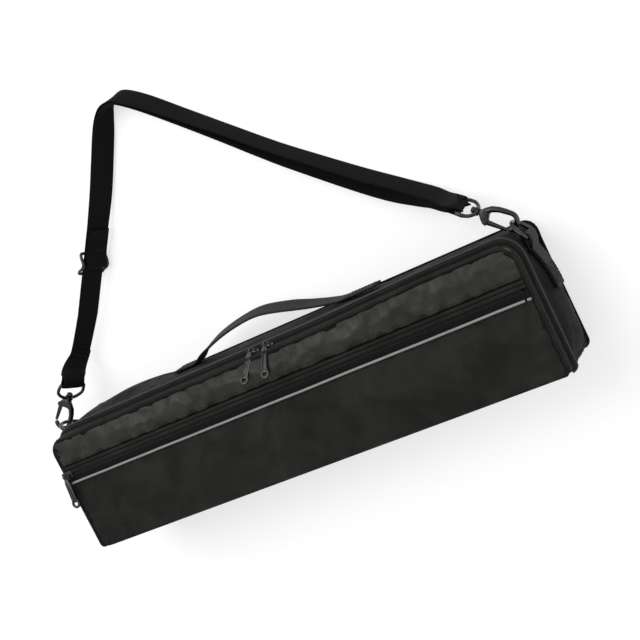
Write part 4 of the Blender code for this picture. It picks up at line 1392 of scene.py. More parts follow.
@dataclass
class Lid:
    """The bag's front: stiff board, padded upper panel and pocket front, hinged along the bottom."""

    shape: CaseShape
    dress: Dress
    end_inset: float = 0.0028
    overhang: float = 0.0046
    board_low: float = 0.0704
    board_high: float = 0.0739
    panel_floor: float = 0.0742
    panel_edge: float = 0.0776
    upper_low: float = 0.0242
    seam_allowance: float = 0.0014
    pocket_seam: float = 0.0096
    corner: float = 0.0058
    upper_crown: float = 0.0042
    pocket_crown: float = 0.0048
    lining_inset: float = 0.0095
    stitch_inset: float = 0.003

    @property
    def reach(self) -> float:
        """Half of the lid's length."""
        return self.shape.half_length - self.end_inset + self.overhang / 2

    def low(self, x: float) -> float:
        """Lower edge of the lid."""
        return self.shape.low_edge(x, self.reach)

    def build(self) -> None:
        """Make the lid's cloth."""
        shape = self.shape
        upper = PaddedPanel(
            "upper_front_cloth", self.reach, self.corner, lambda x: self.upper_low,
            lambda x: shape.high_edge(x, self.reach, shape.lid_inset(x) + self.seam_allowance, self.corner),
            self.panel_floor, self.panel_edge, self.upper_crown, 15, shift=-self.overhang / 2, slack=0.035,
            sink=-0.0022, rise=0.0016
        ).build()
        self.dress(upper, "crinkled nylon", "lid", ["upper_front_panel"])
        pocket = PaddedPanel(
            "pocket_front_cloth", self.reach, shape.lower_corner, self.low, lambda x: self.pocket_seam,
            self.panel_floor, self.panel_edge, self.pocket_crown, 24, shift=-self.overhang / 2, slack=0.01,
            sink=-0.0012, rise=0.0008
        ).build()
        self.dress(pocket, "front nylon", "lid", ["pocket_panel"])
        board = PaddedPanel(
            "lid_board_cloth", self.reach, self.corner, self.low,
            lambda x: shape.high_edge(x, self.reach, shape.lid_inset(x) + 0.0008, self.corner), self.board_low,
            self.board_high, 0.0, 14, roll=0.0012, shift=-self.overhang / 2
        ).build()
        self.dress(board, "side nylon", "lid", ["lid_board"])
        inset = self.lining_inset
        reach = shape.half_length - inset
        lining = PaddedPanel(
            "lid_lining_pad", reach, self.corner, lambda x: shape.low_edge(x, reach, inset),
            lambda x: shape.high_edge(x, reach, inset, self.corner), shape.hinge, shape.hinge + 0.0009, 0.0012, 16,
            roll=0.0009, down=True
        ).build()
        self.dress(lining, "lining taffeta", "lid", ["lid_lining"])
        self.hinge_strip()
        self.edge_stitches()

    def hinge_strip(self) -> None:
        """Cloth that joins the lid to the bottom, where the bag bends as the lid opens; it rides on neither body."""
        shape = self.shape
        reach, edge = shape.half_length - shape.lower_corner, -shape.half_height
        rings = []
        for x in np.linspace(-reach, reach, 160):
            swell = shape.bottom_swell * fullness((x + reach) / (2 * reach)) * 0.2
            path = (
                (edge - 0.0004 - swell, shape.hinge - 0.0044), (edge - 0.0008 - swell, shape.hinge - 0.002),
                (edge - 0.0008, shape.hinge + 0.0004), (edge - 0.0006, self.board_high),
                (edge - 0.0002, self.panel_floor + 0.0012), (edge + 0.0009, self.panel_edge - 0.0008)
            )
            line = rounded_line([(float(x), y, z) for y, z in path], 3)
            inner = [p + Vector((0, 0.0005, 0)) for p in reversed(line)]
            rings.append([*line, *inner])
        strip = skinned("hinge_strip", rings, smooth_angle=80)
        self.dress(strip, "seam binding", None)
        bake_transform(strip)

    def edge_stitches(self) -> None:
        """Row of stitching beside the upper panel's seam."""
        y, lift = self.upper_low + self.stitch_inset, self.upper_crown * 0.42
        places = np.linspace(-self.reach + 0.004, self.reach - 0.004, 140)
        swells = [fullness((x + self.reach) / (2 * self.reach)) for x in places]
        line = [Vector((float(x), y, self.panel_edge + lift * swell - 0.0001)) for x, swell in zip(places, swells)]
        bm = bmesh.new()
        stitches_into(bm, line, [UP] * len(line))
        self.dress(finish_mesh(bm, "lid_seam_stitches"), "sewing thread", "lid")


@dataclass
class PocketZip:
    """Zip of the front pocket with its silver piping."""

    lid: Lid
    dress: Dress
    top: float = 0.0779
    width: float = 0.0062
    tape: float = 0.0012
    low: float = 0.0099
    split: float = 0.0016
    piping: float = 0.00105
    coil_pitch: float = 0.0016
    coil_offset: float = 0.0011
    hem_rise: float = 0.0008

    def strip(
        self, name: str, low: float, high: float, lift: Curve, finish: str, stands_for: Sequence[str] = ()
    ) -> None:
        """A strip of cloth along the zip, from one place across to another.

        Args:
            name: piece name.
            low: lower edge.
            high: upper edge.
            lift: how far it stands off the tape at a share of its width.
            finish: what it is made of.
            stands_for: nodes that it replaces.
        """
        reach, shift = self.lid.reach, self.lid.overhang / 2
        rings = []
        for x in np.linspace(-reach - shift, reach - shift, 150):
            wave = 0.00015 * ripple(Vector((float(x), low, 0)), 0.02, 4.0)
            face = [Vector((float(x), low + (high - low) * k / 6, self.top + lift(k / 6) + wave)) for k in range(7)]
            rings.append([*face, *(Vector((float(x), y, self.top - self.tape)) for y in (high, low))])
        self.dress(skinned(name, rings, smooth_angle=70), finish, "lid", stands_for)

    def build(self) -> None:
        """Make the tapes, hems, coils and piping."""
        split_low = self.low + self.width
        split_high = split_low + self.split
        end = split_high + self.width
        self.strip("pocket_lower_tape_cloth", self.low, split_low, flat, "zip tape", ["pocket_zip_lower_tape"])
        self.strip("pocket_upper_tape_cloth", split_high, end, flat, "zip tape", ["pocket_zip_upper_tape"])
        roll = hem_roll(self.hem_rise)
        self.strip("pocket_upper_hem", end - 0.0028, end + 0.0001, roll, "front nylon")
        self.strip("pocket_inner_hem", split_high + 0.0003, end - 0.0032, roll, "front nylon")
        reach = self.lid.reach
        shift = self.lid.overhang / 2
        places = [float(x) for x in np.linspace(-reach - shift + 0.002, reach - shift - 0.004, 150)]
        bm = bmesh.new()
        for y in (end - 0.0014, end - 0.0046):
            stitches_into(bm, [Vector((x, y, self.top + 0.0009)) for x in places], [UP] * len(places))
        self.dress(finish_mesh(bm, "pocket_hem_stitches"), "sewing thread", "lid")
        bm = bmesh.new()
        middle = (split_low + split_high) / 2
        crosses, lifts = [Vector((0, 1, 0))] * len(places), [UP] * len(places)
        for offset, start in ((-self.coil_offset, 0.0), (self.coil_offset, 0.5)):
            line = [Vector((x, middle + offset, self.top - 0.0001)) for x in places]
            teeth_into(bm, line, crosses, lifts, start * self.coil_pitch, self.coil_pitch)
        self.dress(finish_mesh(bm, "pocket_zip_coil"), "nylon coil", "lid")
        height = self.top + 0.0003 + self.piping
        spans = (
            ("silver_piping_cord", -reach - shift + 0.0025, reach - shift - 0.005, "reflective_piping"),
            ("silver_piping_tip", reach - shift - 0.003, reach - shift, "piping_tip")
        )
        for name, low, high, node in spans:
            count = max(6, round((high - low) / 0.004))
            line = []
            for x in np.linspace(low, high, count):
                place = Vector((float(x), self.lid.pocket_seam, height))
                place.y += 0.00022 * ripple(place, 0.03, 6.0)
                place.z += 0.00015 * ripple(place, 0.02, 9.0)
                line.append(place)
            cord = skinned(name, tube_rings(line, self.piping, 14))
            self.dress(cord, "reflective cloth", "lid", [node])


@dataclass
class CarryHandle:
    """Short webbing handle sewn to the top side at both ends."""

    shape: CaseShape
    dress: Dress
    middle: float = -0.0085
    half_span: float = 0.072
    sewn: float = 0.02
    sewn_right: float = 0.0285
    rise: float = 0.0172
    tilt: float = 0.19
    height: float = 0.031
    width: float = 0.02
    thickness: float = 0.0022
    arch_shares: Outline = (
        (-1.0, 0.0), (-0.84, 0.36), (-0.58, 0.72), (-0.28, 0.95), (0.0, 1.0), (0.3, 0.74), (0.6, 0.36), (0.82, 0.12),
        (1.0, 0.0)
    )

    def build(self) -> None:
        """Make the handle and the boxes of stitching that hold it."""
        base = self.shape.half_height + self.shape.top_swell + self.shape.gap + self.thickness / 2
        keys = [(self.middle + s * self.half_span, base + r * self.rise, self.height) for s, r in self.arch_shares]
        left, right = self.half_span + self.sewn, self.half_span + self.sewn_right
        keys = [(self.middle - left, base, self.height), *keys, (self.middle + right, base, self.height)]
        line = rounded_line(keys, 8)
        for p in line:
            p.y = max(p.y, base)
        leans = [min(1.0, (p.y - base) / self.rise * 1.6) for p in line]
        across = [Vector((0, -self.tilt * lean, 1)) for lean in leans]
        rings = webbing_rings(line, across, self.width, self.thickness, 0.05)
        self.dress(skinned("handle_webbing", rings), "webbing", "case", ["carry_handle"])
        bm = bmesh.new()
        top = base + self.thickness / 2 + 0.0001
        for side, end in ((-1, left), (1, right)):
            near, far = self.middle + side * (self.half_span + 0.002), self.middle + side * (end - 0.002)
            low, high = self.height - self.width * 0.4, self.height + self.width * 0.4
            corners = [(near, low), (far, low), (far, high), (near, high), (near, low), (far, high)]
            for (x0, z0), (x1, z1) in [*zip(corners, corners[1:]), ((near, high), (far, low))]:
                start, stop = Vector((x0, top, z0)), Vector((x1, top, z1))
                row = [start.lerp(stop, k / 8) for k in range(9)]
                stitches_into(bm, row, [Vector((0, 1, 0))] * 9, 0.0028)
        self.dress(finish_mesh(bm, "handle_stitches"), "sewing thread", "case")


# Hardware

def joint(name: str) -> dict:
    """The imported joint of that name."""
    return next(j for j in frame["joints"] if j["name"] == name)


def flat_frame(origin: Sequence[float], along: Vector) -> Matrix:
    """Frame whose first axis lies flat along a heading and whose third points up."""
    across = Vector((0, 0, 1)).cross(along)
    return Matrix.Translation(Vector(origin)) @ Matrix((along, across, (0, 0, 1))).transposed().to_4x4()


@dataclass
class RingTab:
    """Webbing tab sewn up an end, with the D-ring in its fold."""

    side: Side
    shape: CaseShape
    dress: Dress
    start: float = 0.003
    width: float = 0.02
    thickness: float = 0.0013
    gap: float = 0.0003
    wire: float = 0.0014
    depth: float = 0.015
    half_width: float = 0.012
    stitch_box: tuple[float, float] = (0.0055, 0.021)
    headings: dict[Side, float] = field(default_factory=lambda: {Side.LEFT: 147.0, Side.RIGHT: 122.0})

    def end_surface(self, y: float) -> float:
        """Where the padded end stands at a place up its height.

        Args:
            y: place up the end.

        Returns:
            Distance from the bag's middle.
        """
        shape = self.shape
        if y <= shape.end_high:
            return shape.half_length + shape.end_swell * fullness(
                (y - shape.end_low) / (shape.end_high - shape.end_low)
            )
        return shape.half_length - shape.corner + sqrt(max(shape.corner**2 - (y - shape.end_high) ** 2, 0))

    def build(self) -> None:
        """Make the tab, its stitches and the ring."""
        label = self.side.label
        bar = Vector(joint(f"d_ring_{label}_swing")["pos_m"])
        sign = self.side.value
        turn = self.wire + self.gap + self.thickness / 2
        inner = self.gap + self.thickness / 2
        outer = inner + self.thickness + self.gap
        heights = [float(y) for y in np.linspace(self.start, self.shape.end_high, 14)]
        path = [(self.end_surface(y) + outer, y) for y in heights]
        beyond = (self.shape.end_high + bar.y) / 2
        path.append((abs(bar.x) + turn, beyond))
        path += [(abs(bar.x) + turn * cos(a), bar.y + turn * sin(a)) for a in np.linspace(0, pi, 11)]
        path.append((self.end_surface(beyond) + inner + self.gap, beyond))
        path += [(self.end_surface(y) + inner, y) for y in reversed(heights)]
        line = rounded_line([(sign * x, y, bar.z) for x, y in path], 2)
        rings = webbing_rings(line, [Vector((0, 0, 1))] * len(line), self.width, self.thickness)
        self.dress(skinned(f"ring_tab_{label}", rings), "webbing", "case", [f"d_ring_tab_{label}"])
        bm = bmesh.new()
        skin = outer + self.thickness / 2 + 0.0001
        low, high = bar.z - self.width * 0.38, bar.z + self.width * 0.38
        near, far = self.stitch_box
        corners = [(near, low), (near, high), (far, high), (far, low), (near, low), (far, high)]
        for (y0, z0), (y1, z1) in [*zip(corners, corners[1:]), ((near, high), (far, low))]:
            places = [(y0 + (y1 - y0) * k / 8, z0 + (z1 - z0) * k / 8) for k in range(9)]
            row = [Vector((sign * (self.end_surface(y) + skin), y, z)) for y, z in places]
            stitches_into(bm, row, [Vector((sign, 0, 0))] * 9, 0.0026)
        self.dress(finish_mesh(bm, f"ring_tab_stitches_{label}"), "sewing thread", "case")
        heading = radians(self.headings[self.side])
        along = Vector((cos(heading), sin(heading), 0))
        turns = np.linspace(radians(7), radians(173), 31)
        curve = [(self.depth * sin(a), self.half_width * cos(a)) for a in turns]
        bar_end = self.half_width - 0.0009
        curve += [(0.0, -bar_end + (2 * bar_end) * k / 6) for k in range(7)]
        wire = [bar + along * out + Vector((0, 0, up)) for out, up in curve]
        ring = skinned(f"d_ring_wire_{label}", tube_rings(wire, self.wire * 1.12, 16, loop=True), loop=True)
        self.dress(ring, "blackened zinc", f"d_ring_{label}", [f"d_ring_{label}"])


@dataclass
class SnapHook:
    """Cast snap hook with a sprung gate, on a swivel loop that holds the strap."""

    side: Side
    dress: Dress
    wire: float = 0.0014
    reaches: dict[Side, float] = field(default_factory=lambda: {Side.LEFT: 0.013, Side.RIGHT: 0.0126})
    loop_rolls: dict[Side, float] = field(default_factory=lambda: {Side.LEFT: -60.0, Side.RIGHT: -75.0})
    turns: dict[Side, float] = field(default_factory=lambda: {Side.LEFT: 0.0, Side.RIGHT: 4.0})
    ring_reach: float = 0.0263
    pin_place: Triple = (0.008, -0.0056, 0.0)
    gate_reach: Triple = (0.0168, -0.0008, 0.0)
    cheeks: Outline = (
        (0.0022, -0.0017), (0.0022, 0.0017), (0.0062, 0.0032), (0.0078, 0.0022), (0.0082, -0.001), (0.0096, -0.0036),
        (0.0102, -0.0064), (0.0088, -0.0081), (0.0064, -0.0074), (0.0038, -0.0042)
    )
    heart: Outline = (
        (0.0022, -0.0017), (0.0022, 0.0017), (0.0062, 0.004), (0.011, 0.0052), (0.009, 0.0012), (0.0098, -0.003),
        (0.008, -0.006), (0.005, -0.0044)
    )
    knob: Outline = (
        (-0.0048, 0.0004), (-0.0047, 0.0016), (-0.0042, 0.0023), (-0.0034, 0.0026), (-0.0026, 0.0025),
        (-0.0019, 0.0022), (-0.00175, 0.0015), (0.002, 0.0015)
    )

    @property
    def frame(self) -> Matrix:
        """Frame of the hook: origin in its swivel, first axis along it, turned a little on its ring.

        Returns:
            The frame.
        """
        swivel = joint(f"hook_{self.side.label}_swivel")
        along = Vector(swivel["axis"]).normalized()
        crossing = Vector(swivel["pos_m"]) + along * self.ring_reach
        along.rotate(Matrix.Rotation(radians(self.turns[self.side]), 3, "Z"))
        return flat_frame(crossing - along * self.ring_reach, along)

    @property
    def loop_frame(self) -> Matrix:
        """Frame of the loop, rolled about the hook as the strap stands on its edge."""
        return self.frame @ Matrix.Rotation(radians(self.loop_rolls[self.side]), 4, "X")

    def build(self) -> None:
        """Make the hook, its gate and its loop."""
        label, place = self.side.label, self.frame
        bm = bmesh.new()
        turns = np.linspace(pi / 2, radians(-72), 26)
        keys = [(0.003, 0.0), (0.0046, 0.0008), (0.0062, 0.0022), (0.01, 0.0048), (0.015, 0.0061)]
        keys += [(0.02, 0.0063), *((0.024 + 0.0063 * cos(a), 0.0063 * sin(a)) for a in turns)]
        line = [place @ Vector((h, w, 0)) for h, w in keys]
        radii = [0.0022, 0.0024, 0.0025, 0.0024, 0.0022, 0.0021] + [0.0019] * (len(turns) - 2) + [0.0016, 0.001]
        skin_into(bm, tube_rings(line, radii, 16))
        for low, high in ((-0.0026, -0.0016), (0.0016, 0.0026)):
            plate_into(bm, self.cheeks, low, high, place, 0.0003)
        plate_into(bm, self.heart, -0.0018, 0.0018, place, 0.0003)
        collar = [(0.0018, 0.0016), (0.0019, 0.0024), (0.0024, 0.0026), (0.0032, 0.0025), (0.0044, 0.0018)]
        skin_into(bm, lathe_rings(collar, place))
        skin_into(bm, lathe_rings(self.knob, place))
        pin = Matrix.Translation(self.pin_place) @ Matrix.Rotation(radians(-90), 4, "Y")
        rivet = [(-0.0029, 0.0007), (-0.0028, 0.0013), (-0.0024, 0.0015)]
        rivet += [(-x, r) for x, r in reversed(rivet)]
        skin_into(bm, lathe_rings(rivet, place @ pin, 16))
        hook = finish_mesh(bm, f"hook_casting_{label}", METAL_ANGLE)
        self.dress(hook, "blackened zinc", f"hook_{label}", [f"hook_{label}"])
        self.gate(place)
        self.loop(self.loop_frame)

    def gate(self, place: Matrix) -> None:
        """Lever that closes the jaw.

        Args:
            place: frame of the hook.
        """
        label = self.side.label
        bm = bmesh.new()
        lever = Vector(self.gate_reach)
        swing = Matrix.Rotation(atan2(lever.y, lever.x), 4, "Z")
        turn = place @ Matrix.Translation(self.pin_place) @ swing
        line = [turn @ Vector((x, 0, 0)) for x in (0.0016, 0.004, 0.008, 0.012, 0.0155, lever.length)]
        rings = []
        for point, swell in zip(line, (1.9, 1.75, 1.55, 1.4, 1.25, 0.9)):
            turns = [2 * pi * k / 14 for k in range(14)]
            side = turn.to_3x3() @ Vector((0, 1, 0))
            rings.append([point + side * 0.0011 * swell * sin(a) + UP * 0.0013 * cos(a) for a in turns])
        skin_into(bm, rings)
        barrel = turn @ Matrix.Rotation(radians(-90), 4, "Y")
        skin_into(bm, lathe_rings([(-0.0013, 0.0016), (-0.0012, 0.002), (0.0012, 0.002), (0.0013, 0.0016)], barrel, 16))
        piece = finish_mesh(bm, f"gate_lever_{label}", METAL_ANGLE)
        self.dress(piece, "blackened zinc", f"gate_{label}", [f"gate_{label}"])

    def loop(self, place: Matrix) -> None:
        """Wire loop with the swivel's boss.

        Args:
            place: frame of the loop.
        """
        label = self.side.label
        end = -self.reaches[self.side]
        half = [(0.0, 0.0026), (-0.0006, 0.0055), (-0.0026, 0.0092), (-0.0052, 0.0116), (-0.0078, 0.012)]
        half += [(-0.0096, 0.0119), (end, 0.0111)]
        side = rounded_line([(x, y, 0) for x, y in half], 4)
        path = [*side, Vector((end, 0.004, 0)), Vector((end, -0.004, 0))]
        path += [Vector((p.x, -p.y, 0)) for p in reversed(side)]
        bm = bmesh.new()
        skin_into(bm, tube_rings([place @ p for p in path], self.wire, 16))
        boss = [(-0.0015, 0.0019), (-0.0015, 0.003), (-0.0012, 0.0034)]
        boss += [(-x, r) for x, r in reversed(boss)]
        skin_into(bm, lathe_rings(boss, place), loop=True)
        piece = finish_mesh(bm, f"strap_loop_wire_{label}", METAL_ANGLE)
        self.dress(piece, "blackened zinc", "case", [f"strap_loop_{label}"])


@dataclass
class ZipSlider:
    """Zip slider with its bail and its metal pull."""

    slider: str
    pull: str
    place: Matrix
    lean: float
    ribs: tuple[float, ...]
    dress: Dress
    rise: float = 32.0
    length: float = 0.0275
    eye: float = 0.0047

    def build(self) -> None:
        """Make the slider and its pull."""
        bm = bmesh.new()
        side = [(-0.004, 0.0031), (-0.0012, 0.0034), (0.003, 0.0035), (0.0047, 0.0031), (0.0053, 0.0016)]
        outline = [(-0.0053, -0.0022), (-0.0053, 0.0022), *side, *((x, -y) for x, y in reversed(side))]
        plate_into(bm, outline, 0.00045, 0.00145, self.place, 0.00035)
        crown = [(-0.004, -0.0014), (-0.004, 0.0014), (0.0036, 0.0019), (0.0036, -0.0019)]
        plate_into(bm, crown, 0.001, 0.0021, self.place, 0.0006)
        keel = [(-0.0026, -0.0032), (0.0036, -0.0032), (0.0036, 0.0), (-0.0026, 0.0)]
        plate_into(bm, keel, -0.0026, -0.0016, self.place, 0.0002)
        leg = [(-0.0034, 0, 0.0009), (-0.0034, 0, 0.0034), (-0.0029, 0, 0.0044), (-0.0016, 0, self.eye)]
        bail = rounded_line([*leg, *((-x, y, z) for x, y, z in reversed(leg))], 4)
        skin_into(bm, tube_rings([self.place @ p for p in bail], 0.0006, 12))
        body = finish_mesh(bm, f"{self.slider}_body", METAL_ANGLE)
        self.dress(body, "blackened zinc", self.slider, [self.slider])
        self.tag()

    def tag(self) -> None:
        """Pull with a ribbed shank and a ring at its end."""
        eye = self.place @ Vector((0, 0, self.eye))
        turn = Matrix.Rotation(radians(-90), 4, "Z") @ Matrix.Rotation(radians(-self.rise), 4, "Y")
        place = Matrix.Translation(eye) @ turn @ Matrix.Rotation(radians(-self.lean), 4, "Z")
        bm = bmesh.new()
        ring_place = self.length - 0.004
        outline = [(0.001, -0.0013), (0.003, -0.0018), (0.0052, -0.0026)]
        outline += [(ring_place - 0.0034, -0.0026), (ring_place - 0.001, -0.003)]
        outline += [(x, -y) for x, y in reversed(outline)]
        plate_into(bm, outline, -0.00075, 0.00075, place, 0.0003)
        upright = place @ Matrix.Translation((ring_place, 0, 0)) @ Matrix.Rotation(radians(-90), 4, "Y")
        ring = [(-0.0005, 0.0019), (-0.00075, 0.0022), (-0.00075, 0.0036), (-0.0004, 0.004)]
        ring += [(-x, r) for x, r in reversed(ring)]
        skin_into(bm, lathe_rings(ring, upright, 32), loop=True)
        ridge = [(0.0062, 0.0004), (0.007, 0.0008), (0.008, 0.0009)]
        ridge += [(ring_place - 0.0046, 0.0009), (ring_place - 0.0036, 0.0008), (ring_place - 0.003, 0.0003)]
        for rib in self.ribs:
            line = [place @ Vector((x, rib, z)) for x, z in ridge]
            skin_into(bm, tube_rings(line, 0.00062, 10))
        knuckle = place @ Matrix.Rotation(radians(90), 4, "Z")
        eyelet = [(-0.0007, 0.0013), (-0.0007, 0.0018), (-0.0004, 0.0021)]
        eyelet += [(-x, r) for x, r in reversed(eyelet)]
        skin_into(bm, lathe_rings(eyelet, knuckle, 24), loop=True)
        pull = finish_mesh(bm, f"{self.pull}_tag", METAL_ANGLE)
        self.dress(pull, "blackened zinc", self.pull, [self.pull])


# Shoulder strap

@dataclass
class ShoulderStrap:
    """Webbing strap: doubled from its adjuster to the right-hand loop, single to the left-hand one."""

    left: SnapHook
    right: SnapHook
    dress: Dress
    width: float = 0.02
    thickness: float = 0.0013
    gap: float = 0.0003
    wire: float = 0.0014
    glide_heading: float = 52.0
    bar_radius: float = 0.0013
    before_glide: float = 0.046
    lead: float = 0.007
    fold_length: float = 0.032
    sewn_tail: float = 0.036
    blend_reach: float = 0.155
    end_rows: int = 9
    steps: int = 8
    glide_place: Triple = (-0.1415, 0.1656, 0.0118)
    lean: float = -62.0
    left_route: tuple[tuple[float, ...], ...] = (
        (-0.2012, 0.0935, 0.019, -62, 0.002), (-0.193, 0.1045, 0.0118, -65, 0.0017)
    )
    right_route: tuple[tuple[float, ...], ...] = (
        (-0.1051, 0.2147, 0.0095, -56, 0.0017), (-0.09, 0.237, 0.0095, -57, 0.0017),
        (-0.0775, 0.256, 0.0095, -60, 0.0017), (-0.07, 0.2668, 0.01, -70, 0.0017),
        (-0.0635, 0.274, 0.0103, -84, 0.0018), (-0.0555, 0.2772, 0.0103, -100, 0.0019),
        (-0.0465, 0.2758, 0.01, -114, 0.002), (-0.03, 0.2635, 0.01, -115, 0.0024),
        (-0.0057, 0.2414, 0.0103, -110, 0.0034), (0.0248, 0.213, 0.0103, -106, 0.005),
        (0.051, 0.1883, 0.0103, -105, 0.0064), (0.0694, 0.172, 0.0103, -105, 0.0076),
        (0.1084, 0.1385, 0.0103, -108, 0.009), (0.1309, 0.1207, 0.0108, -108, 0.01),
        (0.147, 0.1086, 0.013, -108, 0.0092), (0.1586, 0.1005, 0.0172, -108, 0.0075),
        (0.1675, 0.094, 0.0232, -106, 0.0056)
    )

    def bar(self, hook: SnapHook) -> tuple[Vector, Vector]:
        """Middle of a loop's bar and the direction from it to the swivel."""
        place = hook.loop_frame
        return place @ Vector((-hook.reaches[hook.side], 0, 0)), (place.to_3x3() @ Vector((1, 0, 0))).normalized()

    def bar_normal(self, hook: SnapHook) -> Vector:
        """Direction from the lower layer to the upper one at a loop's bar."""
        facing = 1.0 if hook.side is Side.LEFT else -1.0
        return (hook.loop_frame.to_3x3() @ Vector((0, 0, facing))).normalized()

    @property
    def glide(self) -> Matrix:
        """Frame of the adjuster, in the running layer, leaning with it.

        Returns:
            The frame.
        """
        turn = radians(self.glide_heading)
        level = flat_frame(self.glide_place, Vector((cos(turn), sin(turn), 0)))
        return level @ Matrix.Rotation(radians(-self.lean), 4, "X")

    @staticmethod
    def smooth(keys: list[tuple[float, ...]], steps: int) -> list[np.ndarray]:
        """Catmull-Rom curve through keys that carry more values after their place.

        Args:
            keys: values at each key.
            steps: rows from one key to the next.

        Returns:
            Rows of the same values.
        """
        points = [np.array(k, float) for k in keys]
        padded = [2 * points[0] - points[1], *points, 2 * points[-1] - points[-2]]
        fours = zip(padded, padded[1:], padded[2:], padded[3:])
        rows = [curve_point(*four, k / steps) for four in fours for k in range(steps)]
        return [*rows, points[-1]]

    def route(self) -> tuple[list[np.ndarray], int]:
        """Keys of the running layer from left to right, read as a curve.

        Returns:
            Rows of place, roll and gap to the upper layer, and where the straight part ends.
        """
        turn_radius = self.wire + self.gap + self.thickness / 2
        pitch = self.thickness + self.gap
        left, left_out = self.bar(self.left)
        right, right_out = self.bar(self.right)
        place = self.glide
        left += -self.bar_normal(self.left) * turn_radius
        right += -self.bar_normal(self.right) * turn_radius
        left_end = (self.left.loop_rolls[Side.LEFT], 2 * turn_radius)
        right_end = (-180 - self.right.loop_rolls[Side.RIGHT], 2 * turn_radius)
        start = place @ Vector((-self.before_glide, 0, 0))
        stop = place @ Vector((self.fold_length + self.gap, 0, 0))
        along = (stop - start).normalized()
        level = (self.lean, pitch)
        keys = [(*left, *left_end), (*(left - left_out * self.lead / 2), *left_end), *self.left_route]
        keys += [(*start, *level), (*(start + along * self.lead), *level)]
        straight = [np.array((*start.lerp(stop, float(s)), *level)) for s in np.linspace(0, 1, 15)]
        far = [(*stop, *level), (*(stop + along * self.lead / 2), *level), *self.right_route]
        far += [(*(right - right_out * self.lead / 2), *right_end), (*right, *right_end)]
        rows = self.smooth(keys, self.steps)[: -self.steps - 1] + straight
        straight_end = len(rows) - 1
        return rows + self.smooth(far, self.steps)[self.steps :], straight_end

    def layers(self) -> tuple[Row, Row, Row, list[float], int]:
        """Running layer from left to right.

        Returns:
            Points, directions across, normals, gaps to the upper layer, and where the straight part ends.
        """
        left_out, right_out = self.bar(self.left)[1], self.bar(self.right)[1]
        rows, straight_end = self.route()
        points, gaps = [], []
        for row in rows:
            roll = radians(row[3])
            lowest = self.gap + self.width / 2 * abs(sin(roll)) + self.thickness / 2 * abs(cos(roll))
            points.append(Vector((row[0], row[1], max(row[2], lowest))))
            gaps.append(float(row[4]))
        across, normals = [], []
        for i, row in enumerate(rows):
            roll = radians(row[3])
            tangent = (points[min(i + 1, len(points) - 1)] - points[max(i - 1, 0)]).normalized()
            from_left, from_right = i / self.end_rows, (len(rows) - 1 - i) / self.end_rows
            if from_left < 1:
                tangent = tangent.lerp(-left_out, ease(1 - from_left))
            if from_right < 1:
                tangent = tangent.lerp(right_out, ease(1 - from_right))
            inward = tangent.cross(UP).normalized()
            level = inward.cross(tangent).normalized()
            across.append((inward * cos(roll) + level * sin(roll)).normalized())
            normals.append((level * cos(roll) - inward * sin(roll)).normalized())
        return points, across, normals, gaps, straight_end

    def half_turn(self, hook: SnapHook) -> Row:
        """Webbing round a loop's bar, from under it to over it.

        Args:
            hook: hook whose loop it goes round.

        Returns:
            Points of the half turn.
        """
        bar, out = self.bar(hook)
        radius = self.wire + self.gap + self.thickness / 2
        turns = np.linspace(-pi / 2, pi / 2, 13)[1:-1]
        return [bar + (out * cos(a) + self.bar_normal(hook) * sin(a)) * radius for a in turns]

    def build(self) -> None:
        """Make the strap, its stitches, the adjuster and the fold round it."""
        points, across, normals, gaps, straight_end = self.layers()
        upper = [p + n * g for p, n, g in zip(points, normals, gaps)]
        for p, a in zip(upper, across):
            p.z = max(p.z, self.gap + self.width / 2 * abs(a.z) + self.thickness / 2)
        tail, run = 1, 0.0
        while run < self.sewn_tail:
            run += (points[tail] - points[tail - 1]).length
            tail += 1
        left_turn, right_turn = self.half_turn(self.left)[::-1], self.half_turn(self.right)
        line = [*upper[:tail][::-1], *left_turn, *points, *right_turn]
        sides = [*across[:tail][::-1], *[across[0]] * len(left_turn), *across, *[across[-1]] * len(right_turn)]
        running = skinned("strap_running_layer", webbing_rings(line, sides, self.width, self.thickness, 0.02))
        self.dress(running, "strap webbing", "case", ["strap_webbing"])
        top = upper[straight_end:]
        rings = webbing_rings(top, across[straight_end:], self.width, self.thickness, 0.02)
        doubled = skinned("strap_upper_layer", rings)
        self.dress(doubled, "strap webbing", None, ["strap_webbing"])
        place = self.glide
        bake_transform(doubled)
        self.strap_stitches(upper, across, normals, tail)
        self.fold(place)
        self.tri_glide(place)

    def strap_stitches(self, upper: Row, across: Row, normals: Row, tail: int) -> None:
        """Rows of stitching across the sewn tail at the left loop.

        Args:
            upper: points of the upper layer.
            across: directions across it.
            normals: directions out of it.
            tail: number of points in the tail.
        """
        bm = bmesh.new()
        for at in (tail - 3, tail - 7):
            lift = normals[at] * (self.thickness / 2 + 0.0001)
            half = across[at] * self.width * 0.42
            start, stop = upper[at] - half + lift, upper[at] + half + lift
            row = [start.lerp(stop, k / 8) for k in range(9)]
            stitches_into(bm, row, [normals[at]] * 9, 0.0024)
        self.dress(finish_mesh(bm, "strap_tail_stitches"), "sewing thread", "case")

